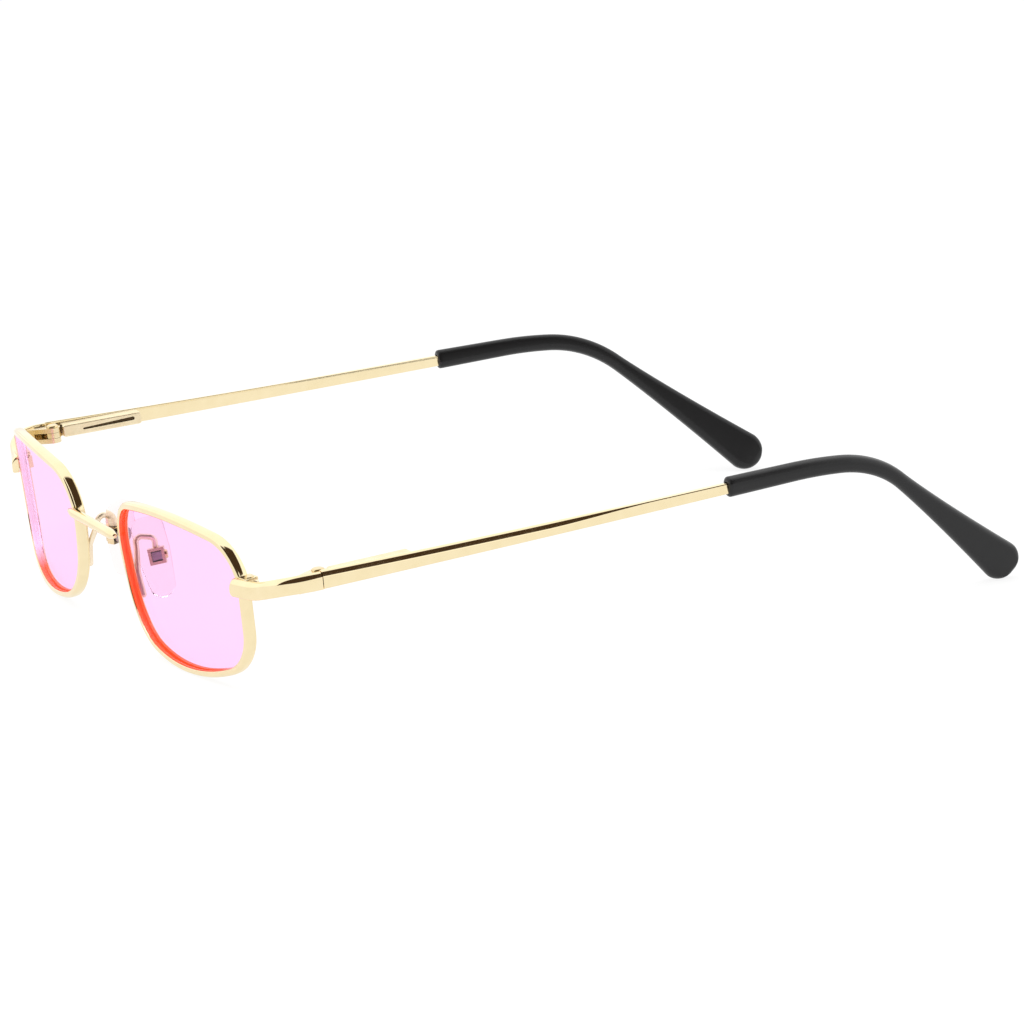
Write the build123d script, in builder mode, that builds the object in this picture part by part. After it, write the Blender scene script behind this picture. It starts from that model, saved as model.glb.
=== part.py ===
from build123d import *
import os
from math import asin, ceil, cos, degrees, radians, sin, sqrt

# Narrow rectangle sunglasses, in millimetres and degrees.
# Everything is modelled as it is worn: X to the wearer's left, Y backward from
# the front of the left lens at its middle, Z up from the middle of the lens.
# The left side is modelled and mirrored. At the end the whole is tipped until
# the rims and the temple tips stand on the plane Z = 0.

os.makedirs("parts", exist_ok=True)

# Rims
half_rim_gap = 10.56
rim_half_width = 22.4
rim_half_height = 14.1
rim_face = 1.15
rim_depth = 1.9
rim_edge_radius = 0.3
lens_base_radius = 110.0
face_wrap = 6.7
lens_tilt = 3.0
top_nasal_radius = 9.0
top_temporal_radius = 8.7
bottom_temporal_radius = 9.15
bottom_nasal_radius = 13.9

# The outline's corners and the middles of its sides, across and up,
# as shares of the half width and the half height.
top_nasal_share = (-1.012, 0.801)
top_middle_share = (0.0, 1.0)
top_temporal_share = (1.006, 0.765)
temporal_middle_share = (0.98, 0.0)
bottom_temporal_share = (0.948, -0.697)
bottom_middle_share = (0.0, -1.0)
bottom_nasal_share = (-0.821, -0.733)
nasal_middle_share = (-0.975, 0.0)

# Lenses and the groove that holds them
lens_thickness = 1.5
groove_depth = 0.55
groove_width = 0.7
lens_clearance = 0.04

# Bridge
bridge_height = 5.7
bridge_radius = 0.88
bridge_end_radius = 0.45
bridge_taper = 3.0
bridge_lap = 1.0
braze_depth = 0.15

# Closing blocks, which clamp the split rim round the lens
closing_height = 5.5
closing_gap = 0.3
closing_block_width = 2.2
closing_block_depth = 2.4
closing_block_rise = 1.4
closing_block_fall = 2.3
closing_block_radius = 0.5
closing_screw_radius = 0.5
closing_screw_head_radius = 0.85
closing_screw_head_height = 0.4

# End pieces
end_piece_thickness = 1.2
end_piece_height = 3.05
end_piece_lap = 0.8
end_piece_tip_height = 4.4
end_piece_level_run = 4.5
end_piece_rise_run = 12.3
end_piece_bend_radius = 7.5
end_piece_rise_radius = 15.0
end_piece_corner_radius = 1.0

# Hinges: the pin is set out and back from the end piece's seat on the rim
hinge_out = 9.89
hinge_back = 10.34
hinge_height = 6.55
hinge_drop = 0.4
toe_in = 3.6
hinge_offset = 3.27
split_ahead = 0.7
split_gap = 0.14
barrel_radius = 1.4
leaf_thickness = 0.85
tongue_thickness = 0.95
tongue_play = 0.05
knuckle_length = 4.6
knuckle_foot = 2.9
knuckle_slot_length = 3.4
pin_radius = 0.55
pin_clearance = 0.03
screw_head_radius = 1.1
screw_head_height = 0.4

# Spring housings and what slides in them
housing_start = 1.8
housing_length = 14.2
housing_height = 2.8
housing_thickness = 2.9
housing_step = 1.6
housing_edge_radius = 0.35
housing_end_wall = 0.8
bore_radius = 0.95
bore_clearance = 0.04
slider_head_length = 1.9
tongue_neck_width = 1.5
shoulder_thickness = 1.1
rod_radius = 0.45
rod_clearance = 0.05
window_length = 9.7
window_height = 0.55
dimple_radius = 0.45
dimple_depth = 0.25
spring_wire_radius = 0.15
spring_radius = 0.71
spring_turns = 10
spring_pitch = 0.78
nut_length = 1.1

# Temples
bar_thickness = 1.2
bar_front_height = 3.05
bar_middle_height = 2.3
bar_end_height = 1.85
bar_middle_drop = 0.35
bar_end_drop = 0.37
bar_edge_radius = 0.3
sleeve_start = 75.1
core_height = 1.4
core_thickness = 0.8
core_end_share = 0.8

# Temple tips
tip_half_height = 1.45
tip_thickness = 2.8
tip_edge_radius = 1.2
tip_drop = 0.2
bend_start = 91.7
bend_radius = 25.6
bend_angle = 43.0
bend_lean = 16.0
tip_length = 33.5
paddle_radius = 3.3
socket_depth = 1.6
socket_clearance = 0.22

# Nose pads, measured from the pad screw
pad_screw_x = 10.2
pad_screw_y = 6.2
pad_screw_z = 0.5
pad_splay = 24.0
pad_frontal_angle = 11.0
pad_lean = 3.0
pad_top_radius = 2.0
pad_top_reach = 4.7
pad_top_shift = -0.8
pad_top_spread = 0.8
pad_middle_radius = 2.95
pad_middle_reach = 0.5
pad_middle_shift = -0.75
pad_bottom_radius = 2.3
pad_bottom_reach = 5.1
pad_bottom_shift = -0.45
pad_thickness = 2.4
pad_face_radius = 1.5
pad_back_radius = 0.3
pad_back = 1.45
insert_plate_radius = 1.5
insert_plate_thickness = 0.6
lug_width = 1.7
lug_height = 1.4
lug_reach = 0.75
pad_box_width = 2.8
pad_box_height = 2.8
pad_box_depth = 2.1
pad_box_wall = 0.5
pad_screw_radius = 0.35
pad_screw_head_radius = 0.75
pad_screw_head_height = 0.45

# Pad arms: where the bent wire goes, from its foot on the back of the rim,
# behind the rim's nasal side, up over an arch and down to the box.
arm_radius = 0.5
arm_foot_low = -5.0
arm_foot_high = -1.2
arm_foot_inset = 0.75
arm_leg_back = 1.3
arm_leg_in = 1.2
arm_leg_height = 2.2
arm_arch_height = 4.2
arm_arch_back = 1.6
arm_arch_in = 1.7
arm_box_rise = 1.9
arm_bend_radius = 1.0

overrun = 1.0


def spot(share):
    """A point of the rim's outline, from its shares of the half sizes."""
    return (share[0] * rim_half_width, share[1] * rim_half_height)


def drop(across):
    """How far the lens curve falls behind its middle at a distance across."""
    return lens_base_radius - sqrt(lens_base_radius**2 - across**2)


# Planes of the left lens: one faces forward, one holds the lens curve.
rim_center_x = half_rim_gap + rim_half_width
lens_plane = Plane(Location((rim_center_x, 0, 0), (90 + lens_tilt, face_wrap, 0)))
curve_plane = Plane(
    origin=lens_plane.origin, x_dir=lens_plane.x_dir, z_dir=lens_plane.y_dir
)


def on_rim_front(across, height):
    """A point on the front face of the left rim, in its lens frame."""
    return lens_plane.from_local_coords(Vector(across, height, -drop(across)))


# The hinge plane lies across the pin, X outward and Y backward along the temple.
# The hinge sits a little below the middle of the end piece and the temple.
seat_across = rim_half_width - end_piece_lap
seat = on_rim_front(seat_across, end_piece_tip_height)
hinge_plane = Plane(
    origin=(seat.X + hinge_out, seat.Y + hinge_back, hinge_height - hinge_drop),
    x_dir=(cos(radians(toe_in)), sin(radians(toe_in)), 0),
    z_dir=(0, 0, 1),
)
outward = hinge_plane.x_dir
backward = hinge_plane.y_dir
upward = hinge_plane.z_dir
housing_plane = Plane(origin=hinge_plane.origin, x_dir=backward, z_dir=outward)
temple_plane = Plane(
    origin=hinge_plane.origin + upward * hinge_drop, x_dir=backward, z_dir=outward
)
bar_middle = hinge_offset - bar_thickness / 2
tip_plane = Plane(
    origin=temple_plane.origin + outward * bar_middle - upward * tip_drop,
    x_dir=backward,
    z_dir=outward * cos(radians(bend_lean)) - upward * sin(radians(bend_lean)),
)


# The rim's outline, seen from the front.
corners = [
    (top_nasal_share, top_nasal_radius),
    (top_temporal_share, top_temporal_radius),
    (bottom_temporal_share, bottom_temporal_radius),
    (bottom_nasal_share, bottom_nasal_radius),
]
with BuildSketch() as rim_outline:
    with BuildLine():
        ThreePointArc(
            spot(top_nasal_share), spot(top_middle_share), spot(top_temporal_share)
        )
        ThreePointArc(
            spot(top_temporal_share),
            spot(temporal_middle_share),
            spot(bottom_temporal_share),
        )
        ThreePointArc(
            spot(bottom_temporal_share),
            spot(bottom_middle_share),
            spot(bottom_nasal_share),
        )
        ThreePointArc(
            spot(bottom_nasal_share), spot(nasal_middle_share), spot(top_nasal_share)
        )
    make_face()
    for corner_share, corner_radius in corners:
        fillet(
            rim_outline.vertices().sort_by_distance(spot(corner_share))[0],
            corner_radius,
        )


def drawn_in(inset):
    """The rim's outline drawn in by inset, arc by arc about the same centres."""
    with BuildSketch() as outline:
        with BuildLine():
            for arc in rim_outline.edges():
                points = []
                for share in (0, 0.5, 1):
                    inward = (arc.arc_center - arc @ share).normalized()
                    points.append(arc @ share + inward * inset)
                ThreePointArc(*points)
        make_face()
    return outline.sketch


def bent_plate(inset, front, thickness):
    """A plate of the rim's outline drawn in by inset, bent to the lens curve."""
    with BuildPart() as plate:
        with BuildSketch(lens_plane):
            add(drawn_in(inset))
        extrude(amount=rim_half_height, both=True)
        with BuildSketch(curve_plane):
            with Locations((0, lens_base_radius)):
                Circle(lens_base_radius - front)
                Circle(lens_base_radius - front - thickness, mode=Mode.SUBTRACT)
        extrude(amount=2 * rim_half_height, both=True, mode=Mode.INTERSECT)
    return plate.part


rim_blank = bent_plate(0, 0, rim_depth)
aperture = bent_plate(rim_face, -overrun, rim_depth + 2 * overrun)
groove = bent_plate(
    rim_face - groove_depth, (rim_depth - groove_width) / 2, groove_width
)
bevel = bent_plate(
    rim_face - groove_depth + lens_clearance,
    (rim_depth - groove_width) / 2 + lens_clearance,
    groove_width - 2 * lens_clearance,
)
lens_blank = bent_plate(
    rim_face + lens_clearance, (rim_depth - lens_thickness) / 2, lens_thickness
)

# Rim: a wire ring with rounded edges, a groove inside, and a saw cut between
# the closing blocks.
with BuildPart() as rim:
    add(rim_blank)
    fillet(rim.faces().sort_by(SortBy.AREA)[-2:].edges(), rim_edge_radius)
    add(aperture, mode=Mode.SUBTRACT)
    add(groove, mode=Mode.SUBTRACT)
    with BuildSketch(lens_plane):
        with Locations((rim_half_width, closing_height)):
            Rectangle(4 * rim_face, closing_gap)
    extrude(amount=rim_half_height, both=True, mode=Mode.SUBTRACT)

with BuildPart() as lens:
    add(lens_blank)
    add(bevel)


# Bridge: a straight round bar with tapered ends, brazed on the rims' fronts.
nasal_edge_share = -1.0
nasal_edge = on_rim_front(nasal_edge_share * rim_half_width, bridge_height)
bridge_half = nasal_edge.X + bridge_lap
bridge_plane = Plane(
    origin=(0, nasal_edge.Y - bridge_radius + braze_depth, nasal_edge.Z),
    x_dir=(1, 0, 0),
    z_dir=(0, -1, 0),
)
with BuildPart() as bridge:
    with BuildSketch(bridge_plane) as bridge_profile:
        with BuildLine():
            bridge_line = Polyline(
                (0, bridge_radius),
                (bridge_half - bridge_taper, bridge_radius),
                (bridge_half, bridge_end_radius),
                (bridge_half, 0),
                (0, 0),
                close=True,
            )
        make_face()
        fillet(
            bridge_profile.vertices().sort_by_distance(
                (bridge_half - bridge_taper, bridge_radius)
            )[0],
            bridge_taper,
        )
        fillet(
            bridge_profile.vertices().sort_by_distance(
                (bridge_half, bridge_end_radius)
            )[0],
            bridge_end_radius / 2,
        )
        mirror(about=Plane.YZ)
    revolve(axis=Axis(bridge_plane.origin, (1, 0, 0)))
    add(rim_blank, mode=Mode.SUBTRACT)
    mirror_blank = mirror(rim_blank, about=Plane.YZ, mode=Mode.PRIVATE)
    add(mirror_blank, mode=Mode.SUBTRACT)

# End piece: a flat strip bent in plan from the rim's front round to the hinge,
# cut to a band that rises a little from its tip.
front_angle = radians(face_wrap) + asin(seat_across / lens_base_radius)
tip_x = seat.X + end_piece_thickness * sin(front_angle)
tip_y = seat.Y - end_piece_thickness * cos(front_angle)
split = hinge_plane.from_local_coords(
    Vector(hinge_offset, -split_ahead - split_gap / 2, 0)
)
front_line = Vector(cos(front_angle), sin(front_angle), 0)
side_line = Vector(-backward.X, -backward.Y, 0)
between = Vector(split.X - tip_x, split.Y - tip_y, 0)
turn_sine = front_line.cross(side_line).Z
front_run = between.cross(side_line).Z / turn_sine
strip_corner = (tip_x + front_run * front_line.X, tip_y + front_run * front_line.Y)
with BuildPart() as end_piece:
    with BuildSketch(Plane.XY) as strip:
        with BuildLine():
            FilletPolyline(
                (tip_x, tip_y),
                strip_corner,
                (split.X, split.Y),
                radius=end_piece_bend_radius,
            )
            offset(amount=end_piece_thickness, side=Side.LEFT)
        make_face()
    extrude(amount=hinge_height + end_piece_height, both=True)
    with BuildSketch(Plane.XZ) as band:
        with BuildLine():
            half_band = end_piece_height / 2
            band_end = hinge_plane.origin.X + 2 * hinge_offset
            Polyline(
                (tip_x - overrun, seat.Z + half_band),
                (tip_x + end_piece_level_run, seat.Z + half_band),
                (tip_x + end_piece_rise_run, hinge_height + half_band),
                (band_end, hinge_height + half_band),
                (band_end, hinge_height - half_band),
                (tip_x + end_piece_rise_run, hinge_height - half_band),
                (tip_x + end_piece_level_run, seat.Z - half_band),
                (tip_x - overrun, seat.Z - half_band),
                close=True,
            )
        make_face()
        for side in (half_band, -half_band):
            for bend in (
                (tip_x + end_piece_level_run, seat.Z + side),
                (tip_x + end_piece_rise_run, hinge_height + side),
            ):
                fillet(
                    band.vertices().sort_by_distance(bend)[0], end_piece_rise_radius
                )
    extrude(amount=hinge_plane.origin.Y + split_ahead, both=True, mode=Mode.INTERSECT)
    tip_face = end_piece.faces().sort_by(Axis.X)[0]
    fillet(
        tip_face.edges().filter_by(GeomType.LINE).group_by(Axis.Z)[0]
        + tip_face.edges().filter_by(GeomType.LINE).group_by(Axis.Z)[-1],
        end_piece_corner_radius,
    )
    add(rim_blank, mode=Mode.SUBTRACT)

# Closing blocks: two halves outside the rim's temporal side, with a screw.
block_center = rim_half_width + closing_block_width / 2 - overrun / 2
block_drop = drop(rim_half_width)
closing_blocks = []
for low, high in (
    (closing_height + closing_gap / 2, closing_height + closing_block_rise),
    (closing_height - closing_block_fall, closing_height - closing_gap / 2),
):
    with BuildPart() as block:
        with BuildSketch(curve_plane.offset(low)):
            with Locations((block_center, block_drop + closing_block_depth / 2)):
                Rectangle(closing_block_width + overrun, closing_block_depth)
        extrude(amount=high - low)
        fillet(
            block.edges().filter_by(lambda edge: abs(edge.tangent_at(0).Z) > 0.9)
            .sort_by_distance(block.part.center() + outward * rim_half_width)[:2],
            closing_block_radius,
        )
        add(rim_blank, mode=Mode.SUBTRACT)
        add(end_piece.part, mode=Mode.SUBTRACT)
        with Locations(
            Location(
                curve_plane.offset(low).from_local_coords(
                    Vector(
                        rim_half_width + closing_block_width / 2,
                        block_drop + closing_block_depth / 2,
                        0,
                    )
                ),
                curve_plane.location.orientation,
            )
        ):
            Cylinder(
                closing_screw_radius,
                4 * closing_block_rise,
                mode=Mode.SUBTRACT,
            )
    closing_blocks.append(block.part)
upper_block, lower_block = closing_blocks

screw_base = curve_plane.offset(closing_height - closing_block_fall)
screw_spot = (
    rim_half_width + closing_block_width / 2,
    block_drop + closing_block_depth / 2,
)
with BuildPart() as closing_screw:
    with BuildSketch(screw_base):
        with Locations(screw_spot):
            Circle(closing_screw_radius)
    extrude(amount=closing_block_fall + closing_block_rise)
    with BuildSketch(curve_plane.offset(closing_height + closing_block_rise)):
        with Locations(screw_spot):
            Circle(closing_screw_head_radius)
    extrude(amount=closing_screw_head_height)
    fillet(
        closing_screw.faces().sort_by(Axis(screw_base.origin, screw_base.z_dir))[-1]
        .edges(),
        closing_screw_head_height / 2,
    )

# Front hinge knuckle: two leaves round the pin, with a foot on the end piece.
leaf_gap = tongue_thickness + 2 * tongue_play
stack_height = 2 * leaf_thickness + leaf_gap
knuckle_back = hinge_offset - end_piece_thickness
stack_base = hinge_plane.offset(-stack_height / 2)
with BuildPart() as hinge_knuckle:
    with BuildSketch(stack_base):
        Circle(barrel_radius)
        with Locations((knuckle_back - end_piece_thickness / 2, -knuckle_length)):
            Rectangle(
                end_piece_thickness,
                knuckle_foot,
                align=(Align.CENTER, Align.MIN),
            )
        make_hull()
    extrude(amount=stack_height)
    with BuildSketch(hinge_plane.offset(-leaf_gap / 2)):
        with Locations((0, -knuckle_slot_length)):
            Rectangle(
                4 * barrel_radius,
                knuckle_slot_length + 2 * barrel_radius,
                align=(Align.CENTER, Align.MIN),
            )
    extrude(amount=leaf_gap, mode=Mode.SUBTRACT)
    with BuildSketch(stack_base):
        Circle(pin_radius)
    extrude(amount=stack_height, mode=Mode.SUBTRACT)
    add(end_piece.part, mode=Mode.SUBTRACT)

with BuildPart() as hinge_screw:
    with BuildSketch(stack_base):
        Circle(pin_radius)
    extrude(amount=stack_height)
    with BuildSketch(hinge_plane.offset(stack_height / 2)):
        Circle(screw_head_radius)
    extrude(amount=screw_head_height)
    fillet(
        hinge_screw.faces().sort_by(Axis.Z)[-1].edges(), screw_head_height * 0.9
    )

# Slider: the middle leaf, a round head in the housing's mouth and a long rod.
bore_axis = hinge_offset - bar_thickness - housing_thickness / 2
head_start = housing_start + overrun / 2
head_end = head_start + slider_head_length
shoulder_start = head_end + split_gap
shoulder_end = shoulder_start + shoulder_thickness
spring_end = shoulder_end + spring_turns * spring_pitch + 2 * spring_wire_radius
rod_end = spring_end + nut_length
rod_plane = Plane(
    origin=hinge_plane.origin + outward * bore_axis, x_dir=outward, z_dir=backward
)
with BuildPart() as hinge_slider:
    with BuildSketch(hinge_plane.offset(-tongue_thickness / 2)):
        Circle(barrel_radius)
        with Locations((bore_axis, 0)):
            Rectangle(
                tongue_neck_width,
                housing_start - split_gap,
                align=(Align.CENTER, Align.MIN),
            )
        make_hull()
        with Locations((bore_axis, 0)):
            Rectangle(
                tongue_neck_width,
                head_start,
                align=(Align.CENTER, Align.MIN),
            )
    extrude(amount=tongue_thickness)
    with BuildSketch(rod_plane.offset(head_start)):
        Circle(bore_radius - bore_clearance)
    extrude(amount=slider_head_length)
    with BuildSketch(rod_plane.offset(head_end)):
        Circle(rod_radius)
    extrude(amount=rod_end - head_end)
    with BuildSketch(stack_base):
        Circle(pin_radius + pin_clearance)
    extrude(amount=stack_height, mode=Mode.SUBTRACT)

with BuildPart() as slider_nut:
    with BuildSketch(rod_plane.offset(spring_end)):
        Circle(bore_radius - bore_clearance)
        Circle(rod_radius, mode=Mode.SUBTRACT)
    extrude(amount=nut_length)
    chamfer(
        slider_nut.faces().sort_by(Axis(rod_plane.origin, backward))[-1]
        .edges().sort_by(SortBy.LENGTH)[-1],
        nut_length / 4,
    )


def coil_spot(turns):
    """A point on the spring's middle line and the way it goes there."""
    angle = radians(360 * turns)
    rise = spring_pitch * turns
    climb = spring_pitch / radians(360)
    place = Vector(spring_radius * cos(angle), spring_radius * sin(angle), rise)
    way = Vector(-spring_radius * sin(angle), spring_radius * cos(angle), climb)
    return place, way.normalized()


def biarc(start, start_way, end, end_way):
    """Two tangent arcs between two points with given ways."""
    chord = end - start
    ways = start_way + end_way
    spread = 2 * (1 - start_way.dot(end_way))
    reach = chord.dot(ways)
    size = (sqrt(reach**2 + spread * chord.dot(chord)) - reach) / spread
    first = start + start_way * size
    last = end - end_way * size
    middle = (first + last) * 0.5
    TangentArc(start, middle, tangent=start_way)
    TangentArc(middle, end, tangent=(last - first).normalized())


# Coil spring round the rod: each quarter turn is two tangent arcs.
quarters = 4
spring_steps = [step / quarters for step in range(spring_turns * quarters + 1)]
spring_plane = rod_plane.offset(shoulder_end + spring_wire_radius)
with BuildPart() as coil:
    with BuildLine() as coil_line:
        for before, after in zip(spring_steps, spring_steps[1:]):
            biarc(*coil_spot(before), *coil_spot(after))
    with BuildSketch(Plane(coil_line.line @ 0, z_dir=coil_line.line % 0)):
        Circle(spring_wire_radius)
    sweep(path=coil_line.wire())
with BuildPart() as hinge_spring:
    add(spring_plane.location * coil.part)
spring_samples = [coil_spot(step / 16)[0] for step in range(spring_turns * 16)]
spring_least = min(
    (spring_samples[one + apart] - spring_samples[one]).length
    for apart in range(8, 25)
    for one in range(len(spring_samples) - apart)
)
print("spring least gap", round(spring_least - 2 * spring_wire_radius, 3), "mm")

# Temple bar: a flat strip that narrows to the tip, with a core inside the tip.
bar_start = -split_ahead + split_gap / 2
bar_inner = hinge_offset - bar_thickness
bar_end = sleeve_start + socket_depth


def bar_edge(side):
    """The bar's upper or lower edge, a gentle curve from the hinge to the tip."""
    ThreePointArc(
        (bar_start, side * bar_front_height / 2),
        ((bar_start + bar_end) / 2, side * bar_middle_height / 2 - bar_middle_drop),
        (bar_end, side * bar_end_height / 2 - bar_end_drop),
    )


def bent_strip(first, half, length, cap):
    """Outline of a strip along the tip's middle line, in the tip's plane."""
    turn = radians(bend_angle)
    along = Vector(cos(turn), -sin(turn))
    across = Vector(sin(turn), cos(turn))
    pivot = Vector(bend_start, -bend_radius)
    end = pivot + across * bend_radius + along * (length - cap)
    upper = pivot + across * (bend_radius + half)
    lower = pivot + across * (bend_radius - half)
    half_turn = across * cos(turn / 2)
    middle = Vector(sin(turn / 2), cos(turn / 2))
    with BuildSketch() as outline:
        with BuildLine():
            Line((first, half), (bend_start, half))
            ThreePointArc(
                (bend_start, half), pivot + middle * (bend_radius + half), upper
            )
            Line(upper, end + across * cap)
            ThreePointArc(end + across * cap, end + along * cap, end - across * cap)
            Line(end - across * cap, lower)
            ThreePointArc(
                lower, pivot + middle * (bend_radius - half), (bend_start, -half)
            )
            Line((bend_start, -half), (first, -half))
            Line((first, -half), (first, half))
        make_face()
    return outline.sketch


with BuildPart() as core:
    with BuildSketch(tip_plane):
        add(
            bent_strip(
                sleeve_start - overrun,
                core_height / 2,
                tip_length * core_end_share,
                core_height / 2,
            )
        )
    extrude(amount=core_thickness / 2, both=True)

with BuildPart() as bar:
    with BuildSketch(temple_plane.offset(bar_inner)):
        with BuildLine():
            bar_edge(1)
            bar_edge(-1)
            Line(
                (bar_start, bar_front_height / 2), (bar_start, -bar_front_height / 2)
            )
            Line(
                (bar_end, bar_end_height / 2 - bar_end_drop),
                (bar_end, -bar_end_height / 2 - bar_end_drop),
            )
        make_face()
    extrude(amount=bar_thickness)
    outer_face = bar.faces().sort_by(Axis(hinge_plane.origin, outward))[-1]
    fillet(
        outer_face.edges().sort_by(Axis(hinge_plane.origin, backward))[1:3],
        bar_edge_radius,
    )

with BuildPart() as temple_bar:
    add(bar.part)
    add(core.part)

# Spring housing: a long block on the bar's inner side, bored for the slider,
# with a narrow window along the spring.
housing_end = housing_start + housing_length
housing_middle = bar_inner - housing_thickness / 2
window_start = shoulder_end
with BuildPart() as spring_housing:
    with BuildSketch(hinge_plane.offset(-housing_height / 2)) as housing_plan:
        with BuildLine():
            Polyline(
                (bar_inner, housing_start),
                (bar_inner - housing_thickness, housing_start),
                (bar_inner - housing_thickness, housing_end - housing_step),
                (bar_inner - housing_thickness / 2, housing_end),
                (bar_inner, housing_end),
                close=True,
            )
        make_face()
    extrude(amount=housing_height)
    fillet(
        spring_housing.faces().sort_by(Axis(hinge_plane.origin, outward))[0]
        .edges(),
        housing_edge_radius,
    )
    with BuildSketch(rod_plane.offset(housing_start)):
        Circle(bore_radius)
    extrude(amount=shoulder_start - housing_start, mode=Mode.SUBTRACT)
    with BuildSketch(rod_plane.offset(shoulder_start)):
        Circle(rod_radius + rod_clearance)
    extrude(amount=shoulder_thickness, mode=Mode.SUBTRACT)
    with BuildSketch(rod_plane.offset(shoulder_end)):
        Circle(bore_radius)
    extrude(
        amount=housing_end - housing_end_wall - shoulder_end, mode=Mode.SUBTRACT
    )
    with BuildSketch(housing_plane.offset(bore_axis - housing_thickness)):
        with Locations((window_start, 0)):
            Rectangle(
                window_length, window_height, align=(Align.MIN, Align.CENTER)
            )
    extrude(amount=housing_thickness, mode=Mode.SUBTRACT)
    with BuildSketch(housing_plane.offset(bar_inner - housing_thickness)):
        with Locations((shoulder_start, -housing_height / 4)):
            Circle(dimple_radius)
    extrude(amount=dimple_depth, mode=Mode.SUBTRACT)

# Temple tip: a soft sleeve over the core, bent down behind the ear.
with BuildPart() as temple_tip:
    with BuildSketch(tip_plane):
        add(bent_strip(sleeve_start, tip_half_height, tip_length, paddle_radius))
    extrude(amount=tip_thickness / 2, both=True)
    fillet(
        temple_tip.faces().sort_by(SortBy.AREA)[-2:].edges(), tip_edge_radius
    )
    with BuildSketch(temple_plane.offset(bar_inner - socket_clearance)):
        with Locations((bar_end, -bar_end_drop)):
            Rectangle(
                2 * socket_depth,
                bar_end_height + 2 * socket_clearance,
                align=(Align.MAX, Align.CENTER),
            )
    extrude(amount=bar_thickness + 2 * socket_clearance, mode=Mode.SUBTRACT)
    add(temple_bar.part, mode=Mode.SUBTRACT)

# Nose pad: its frame has X backward across the pad, Y up and Z outward.
pad_up = Vector(
    -sin(radians(pad_frontal_angle)), -sin(radians(pad_lean)), 1
).normalized()
pad_back_way = Vector(sin(radians(pad_splay)), cos(radians(pad_splay)), 0)
pad_out = pad_back_way.cross(pad_up).normalized()
pad_plane = Plane(
    origin=(pad_screw_x, pad_screw_y, pad_screw_z),
    x_dir=pad_up.cross(pad_out),
    z_dir=pad_out,
)

with BuildPart() as pad_insert:
    with BuildSketch(pad_plane.offset(-pad_back - insert_plate_thickness)):
        Circle(insert_plate_radius)
    extrude(amount=insert_plate_thickness)
    with BuildSketch(pad_plane.offset(-pad_back)):
        Rectangle(lug_width, lug_height)
    extrude(amount=pad_back + lug_reach)
    with BuildSketch(Plane(origin=pad_plane.origin, z_dir=pad_plane.x_dir)):
        Circle(pad_screw_radius + pin_clearance)
    extrude(amount=pad_box_width, both=True, mode=Mode.SUBTRACT)

with BuildPart() as nose_pad:
    with BuildSketch(pad_plane.offset(-pad_back - pad_thickness)):
        for pad_side in (-1, 1):
            with Locations((pad_top_shift + pad_side * pad_top_spread, pad_top_reach)):
                Circle(pad_top_radius)
        with Locations((pad_middle_shift, pad_middle_reach)):
            Circle(pad_middle_radius)
        with Locations((pad_bottom_shift, -pad_bottom_reach)):
            Circle(pad_bottom_radius)
        make_hull()
    extrude(amount=pad_thickness)
    pad_faces = nose_pad.faces().sort_by(Axis(pad_plane.origin, pad_plane.z_dir))
    fillet(pad_faces[0].edges(), pad_face_radius)
    fillet(
        nose_pad.faces().sort_by(Axis(pad_plane.origin, pad_plane.z_dir))[-1].edges(),
        pad_back_radius,
    )
    add(pad_insert.part, mode=Mode.SUBTRACT)

# Pad box: a small square tube on the arm, with the pad's screw through it.
with BuildPart() as pad_box:
    with BuildSketch(pad_plane.offset(-pad_box_depth / 2)):
        Rectangle(pad_box_width, pad_box_height)
        Rectangle(
            pad_box_width - 2 * pad_box_wall,
            pad_box_height - 2 * pad_box_wall,
            mode=Mode.SUBTRACT,
        )
    extrude(amount=pad_box_depth)
    with BuildSketch(Plane(origin=pad_plane.origin, z_dir=pad_plane.x_dir)):
        Circle(pad_screw_radius)
    extrude(amount=pad_box_width, both=True, mode=Mode.SUBTRACT)

with BuildPart() as pad_screw:
    with BuildSketch(
        Plane(
            origin=pad_plane.origin - pad_plane.x_dir * (pad_box_width / 2),
            z_dir=pad_plane.x_dir,
        )
    ):
        Circle(pad_screw_radius)
    extrude(amount=pad_box_width)
    with BuildSketch(
        Plane(
            origin=pad_plane.origin + pad_plane.x_dir * (pad_box_width / 2),
            z_dir=pad_plane.x_dir,
        )
    ):
        Circle(pad_screw_head_radius)
    extrude(amount=pad_screw_head_height)
    fillet(
        pad_screw.faces().sort_by(Axis(pad_plane.origin, pad_plane.x_dir))[-1]
        .edges(),
        pad_screw_head_height / 2,
    )


def behind_rim(height, inset, back):
    """A point behind the rim's nasal side, inset from its outer edge."""
    probe = Axis(
        lens_plane.from_local_coords(Vector(0, height, 0)), -lens_plane.x_dir
    )
    nasal = -rim_half_width
    for edge in rim_outline.edges():
        for share in range(0, 101):
            point = edge @ (share / 100)
            if abs(point.Y - height) < rim_face / 2 and point.X < 0:
                nasal = point.X
    across = nasal + inset
    return lens_plane.from_local_coords(
        Vector(across, height, -drop(across) - rim_depth - back)
    )


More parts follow.
